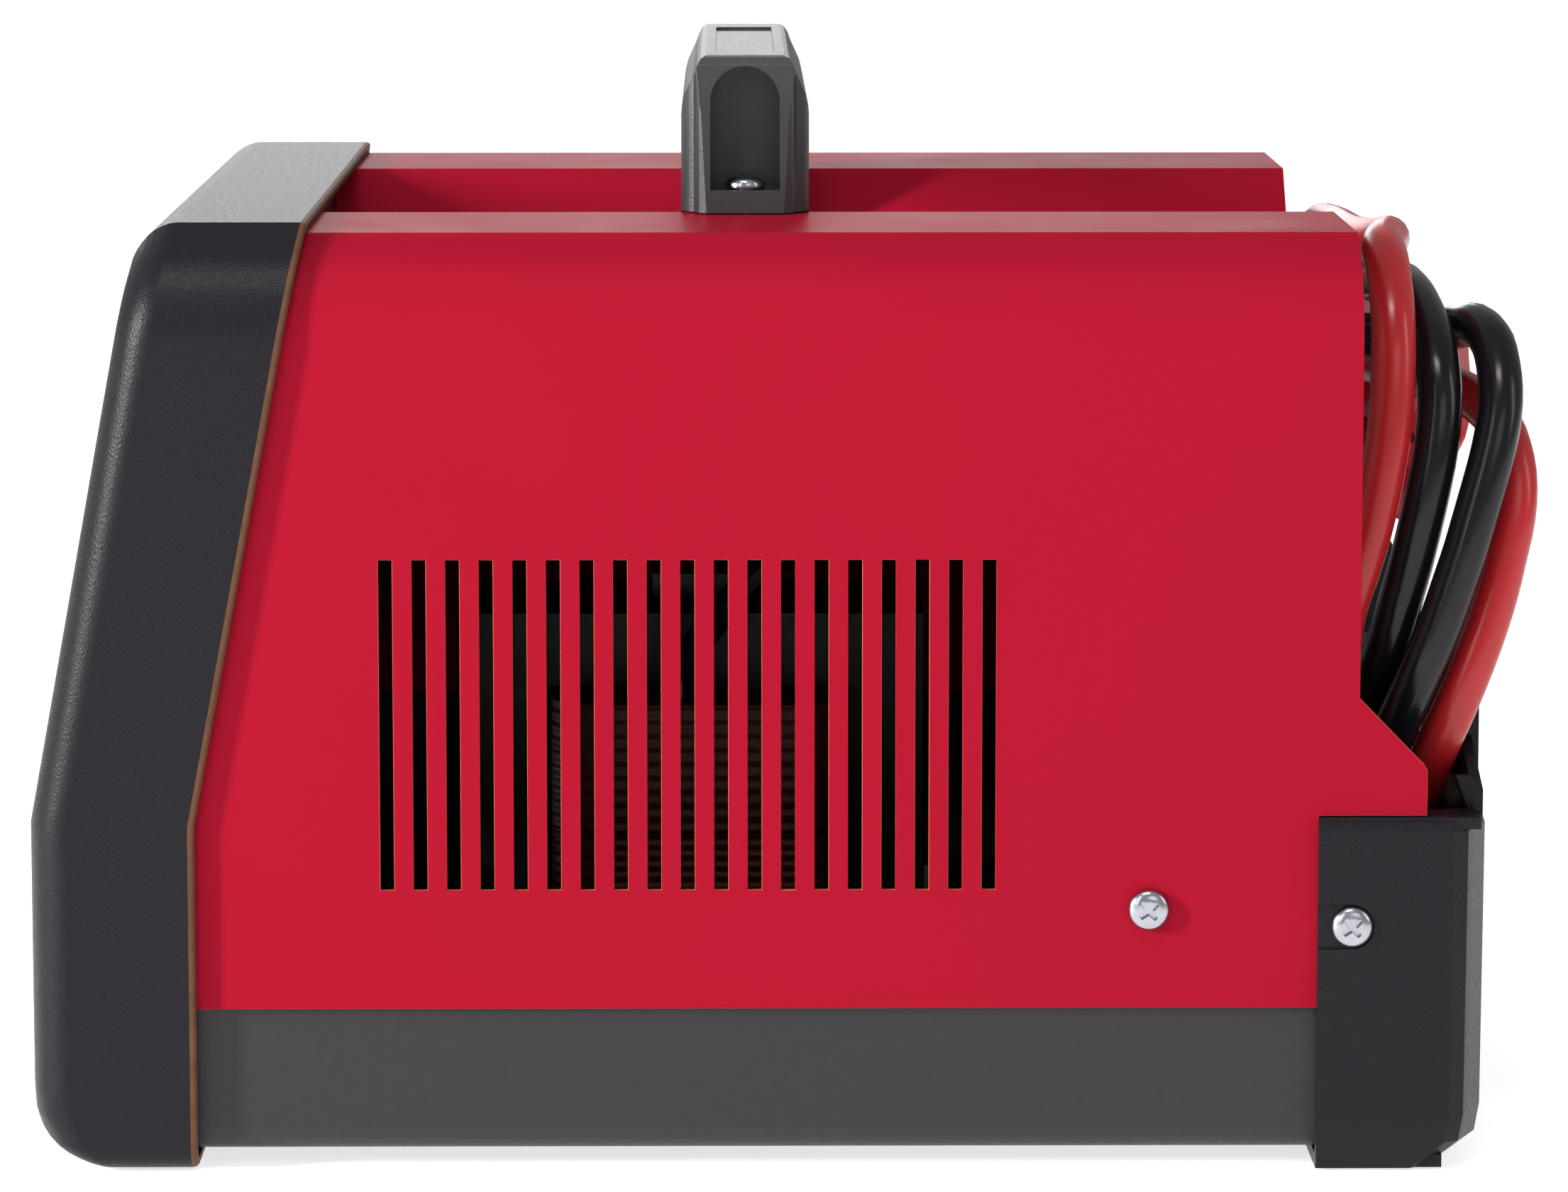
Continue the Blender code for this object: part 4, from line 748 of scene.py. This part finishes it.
def bezel_rings():
    """Outlines from the rounded front edge, round the rear lip, and back through the opening."""

    def ring(inset, back):
        return [(x, front_y(z) + back, z) for x, z in bezel_outline(inset)]

    def rear_ring(inset, back):
        return [(x, bezel_rear_y(z) + back, z) for x, z in bezel_outline(inset)]

    front = [(0.0100, 0.0001), (0.0085, 0.0003), (0.0066, 0.0009), (0.0048, 0.0018), (0.0032, 0.0029)]
    front += [(0.0019, 0.0043), (0.0009, 0.0059), (0.0003, 0.0075), (0.0001, 0.0090)]
    rear = [(0.0001, -0.0016), (0.0003, -0.0006), (0.0009, -0.0001), (BEZEL_WALL, -0.0001)]
    opening = [
        (BEZEL_WALL, 0.0075),
        (BEZEL_BORDER - COLLAR, 0.0045),
        (BEZEL_BORDER - COLLAR, PANEL_SET_BACK - GAP),
        (BEZEL_BORDER, PANEL_SET_BACK - GAP),
        (BEZEL_BORDER, 0.0022),
        (BEZEL_BORDER - 0.0006, 0.0010),
        (BEZEL_BORDER - 0.0018, 0.0002),
    ]
    rings = [ring(*step) for step in front]
    rings += [rear_ring(*step) for step in rear]
    return rings + [ring(*step) for step in opening]


def make_bezel():
    bezel = loft("bezel_look", bezel_rings(), "black_plastic", hollow=True)
    floor_z = RIDGE_Z - TROUGH_DEPTH + 0.0004
    foot_x = TROUGH_X - TROUGH_DEPTH - 0.0005
    side_x = TROUGH_X - 0.0009
    end = mirrored([(foot_x, floor_z), (side_x, RIDGE_Z), (side_x, BEZEL_TOP_Z - 0.001)])
    join(bezel, prism("trough_end", end, "Y", *TROUGH_END_Y, "black_plastic"))
    soften(bezel, 0.0, sharp=28)
    bezel.data.materials.append(finish("rim"))
    for face in bezel.data.polygons:
        if face.center.y > bezel_rear_y(face.center.z) - RIM_WIDTH:
            face.material_index = len(bezel.data.materials) - 1
    return stand_in(bezel, "front_bezel")


def handle_front():
    """The handle from the front: its two legs, its top and the finger gap."""
    foot_z = RIDGE_Z + GAP
    inner_x = TROUGH_X - 0.012
    half = [
        (HANDLE_END_X, foot_z),
        (HANDLE_END_X - 0.001, 0.238),
        (HANDLE_END_X - 0.0018, 0.2425),
        (HANDLE_TOP_X + 0.0015, 0.2488),
        (HANDLE_TOP_X, 0.2504),
        (HANDLE_TOP_X - 0.0025, HANDLE_TOP_Z),
    ]
    under = [(HANDLE_LEG_X - 0.010, HANDLE_UNDER_Z)]
    under += arc((HANDLE_LEG_X - 0.006, HANDLE_UNDER_Z - 0.006), 0.006, 90, 0, 10)
    under += [(HANDLE_LEG_X, 0.2010), (inner_x - 0.0035, 0.2010)]
    under += [(inner_x, foot_z - 0.012 + GAP), (TROUGH_X, foot_z)]
    left = [(-x, z) for x, z in reversed(under)]
    return half + [(-x, z) for x, z in reversed(half)] + left + under


def handle_section():
    """The handle across its length, narrower towards its top."""
    w = HANDLE_HALF_WIDTH
    half = [(w, 0.19), (w, 0.2370), (w - 0.0002, 0.2392), (w - 0.0008, 0.2418), (w - 0.0020, 0.2445)]
    half += [(w - 0.0030, 0.2466), (w - 0.0038, 0.2488), (w - 0.0047, 0.2503)]
    half += [(w - 0.0062, HANDLE_TOP_Z + 0.0002)]
    return [(y + HANDLE_Y, z) for y, z in mirrored(half)]


def handle_plan():
    """The handle from above, with rounded ends."""
    w = HANDLE_HALF_WIDTH
    corner = [(HANDLE_END_X - 0.022, w)]
    corner += arc((HANDLE_END_X - 0.010, w - 0.006), 0.006, 90, 30, 6)
    corner += [(HANDLE_END_X - 0.0014, w - 0.0042), (HANDLE_END_X + 0.0002, w - 0.0062)]
    right = corner + [(x, -y) for x, y in reversed(corner)]
    whole = right + [(-x, -y) for x, y in right]
    return [(x, y + HANDLE_Y) for x, y in whole]


def cut_pocket(handle, side):
    """The arched pocket in one end, over the bolt."""
    w = POCKET_HALF_WIDTH
    arch = [(HANDLE_Y - w, POCKET_FLOOR_Z), (HANDLE_Y - w, POCKET_ARCH_Z)]
    arch += arc((HANDLE_Y, POCKET_ARCH_Z), w, 180, 0, 16)[1:]
    arch += [(HANDLE_Y + w, POCKET_FLOOR_Z)]
    span = sorted((side * (HANDLE_BOLT_X - POCKET_DEPTH), side * 0.1))
    cut(handle, prism("pocket", arch, "X", *span))


def make_handle():
    ends = (HANDLE_Y - 0.03, HANDLE_Y + 0.03)
    handle = prism("handle_look", handle_front(), "Y", *ends, "handle_plastic")
    section = prism("section", handle_section(), "X", -0.1, 0.1)
    plan = prism("plan", handle_plan(), "Z", 0.18, 0.27)
    common(handle, section, plan)
    cut_pocket(handle, 1)
    cut_pocket(handle, -1)
    a, b = INLAY_HALF
    inlay = [(x, y + HANDLE_Y) for x, y in ((-a, -b), (a, -b), (a, b), (-a, b))]
    cut(handle, prism("inlay", inlay, "Z", HANDLE_TOP_Z - INLAY_DEPTH, HANDLE_TOP_Z + 0.01))
    soften(handle, 0.0005, 2, 28, 35)
    return stand_in(handle, "carry_handle")


def domed_profile(head_r, head_h, radius, length):
    """Radius against height, from the shank's tip to the top of the dome."""
    profile = [(radius, -length), (radius, 0.0)]
    profile += [(head_r * 0.97, 0.0), (head_r, head_h * 0.08), (head_r, head_h * 0.22)]
    for i in range(1, 8):
        a = math.radians(90 * i / 8)
        profile.append((head_r * (0.30 + 0.70 * math.cos(a)), head_h * (0.22 + 0.78 * math.sin(a))))
    return profile


def cross_bar(axis, flat, head_r, degrees, span):
    """One bar of the cross, wider at its middle."""
    end_half = head_r * 0.15 * 0.7
    half = head_r * 0.15
    middle = half * 1.3
    tip = head_r * 0.55
    corners = [(tip, end_half), (middle, half), (-middle, half), (-tip, end_half)]
    corners += [(-tip, -end_half), (-middle, -half), (middle, -half), (tip, -end_half)]
    c = math.cos(math.radians(degrees))
    s = math.sin(math.radians(degrees))
    spun = [(flat[0] + a * c - b * s, flat[1] + a * s + b * c) for a, b in corners]
    return prism("bar", spun, axis, *span)


def make_screw(node, axis, at, out, head_r, head_h, radius, length):
    """A domed cross-head screw, whose head is on the out side (1 or -1) of its place."""
    profile = [(r, out * along) for r, along in domed_profile(head_r, head_h, radius, length)]
    made = turned(node + "_look", profile, axis, at, 40, "zinc")
    top = at["XYZ".index(axis)] + out * head_h
    span = sorted((top - out * head_h * 0.62, top + out * head_h))
    flat = [c for i, c in enumerate(at) if i != "XYZ".index(axis)]
    bars = [cross_bar(axis, flat, head_r, degrees, span) for degrees in (40, 130)]
    cut(made, join(*bars))
    soften(made, 0.0001, 1, 40, 35)
    return stand_in(made, node)


def make_screws():
    screw = (SCREW_HEAD_R, SCREW_HEAD_H, SCREW_R, SCREW_LENGTH)
    for side, word in ((1, "right"), (-1, "left")):
        cover_at = (side * (SIDE_X + GAP), *COVER_SCREW)
        tray_at = (side * (TRAY_FACE_X + GAP), *TRAY_SCREW)
        bolt_at = (side * HANDLE_BOLT_X, HANDLE_Y, POCKET_FLOOR_Z + GAP)
        make_screw(f"cover_screw_{word}", "X", cover_at, side, *screw)
        make_screw(f"tray_screw_{word}", "X", tray_at, side, *screw)
        make_screw(f"handle_bolt_{word}", "Z", bolt_at, 1, **BOLT)


# Nodes that keep their CAD shape with their edges rounded: finish, bevel width
ROUNDED = {
    "rear_cable_tray": ("black_plastic", 0.0007),
    "base_tray": ("base_plastic", 0.0005),
    "front_panel": ("panel_plastic", 0.0004),
    "output_knob": ("knob_plastic", 0.0006),
    "switch_housing": ("knob_plastic", 0.0004),
    "power_rocker": ("knob_plastic", 0.0004),
    "holder_handle": ("red_plastic", 0.0016),
    "holder_lever": ("red_plastic", 0.0016),
    "holder_lower_jaw": ("red_plastic", 0.0008),
    "holder_upper_jaw": ("red_plastic", 0.0008),
    "clamp_lower_arm": ("steel", 0.0004),
    "clamp_upper_arm": ("steel", 0.0004),
    "clamp_lower_grip": ("grip_rubber", 0.0012),
    "clamp_upper_grip": ("grip_rubber", 0.0012),
    "primary_coil": ("copper", 0.0020),
    "secondary_coil": ("aluminium", 0.0020),
    "fan_motor": ("core_steel", 0.0005),
    "terminal_block": ("knob_plastic", 0.0005),
    "thermal_cutout": ("knob_plastic", 0.0005),
    "electrode_lead_gland": ("grip_rubber", 0.0005),
    "work_lead_gland": ("grip_rubber", 0.0005),
    "mains_cord_inlet": ("grip_rubber", 0.0005),
}
# Nodes that keep their CAD shape
KEPT = {
    "rear_panel": "plated_sheet",
    "transformer_core": "core_steel",
    "core_foot_front": "plated_sheet",
    "core_foot_rear": "plated_sheet",
    "fan_blade": "fan_plastic",
    "fan_bracket": "plated_sheet",
    "fan_shaft": "steel",
    "selector_shaft": "brass",
    "selector_switch": "knob_plastic",
    "indicator_lens": "lens",
    "holder_pin": "steel",
    "holder_spring": "steel",
    "clamp_pin": "zinc",
    "clamp_spring": "steel",
    "electrode_wire": "black_rubber",
    "work_wire": "black_rubber",
    "foot_bolt_1": "zinc",
    "foot_bolt_2": "zinc",
    "foot_bolt_3": "zinc",
    "foot_bolt_4": "zinc",
}


def keep(node, look):
    """Shows a CAD node as it is, in that finish."""
    mesh = NODES[node].data
    mesh.materials.clear()
    mesh.materials.append(finish(look))
    for face in mesh.polygons:
        face.material_index = 0


def main():
    make_camera()
    make_studio()
    made = {node: refined(node, look, width) for node, (look, width) in ROUNDED.items()}
    for node, look in KEPT.items():
        keep(node, look)
    make_lead("electrode_lead", ELECTRODE_ROUTE, "red_rubber")
    make_lead("work_lead", WORK_ROUTE, "black_rubber")
    make_cover()
    make_bezel()
    make_handle()
    make_screws()


main()
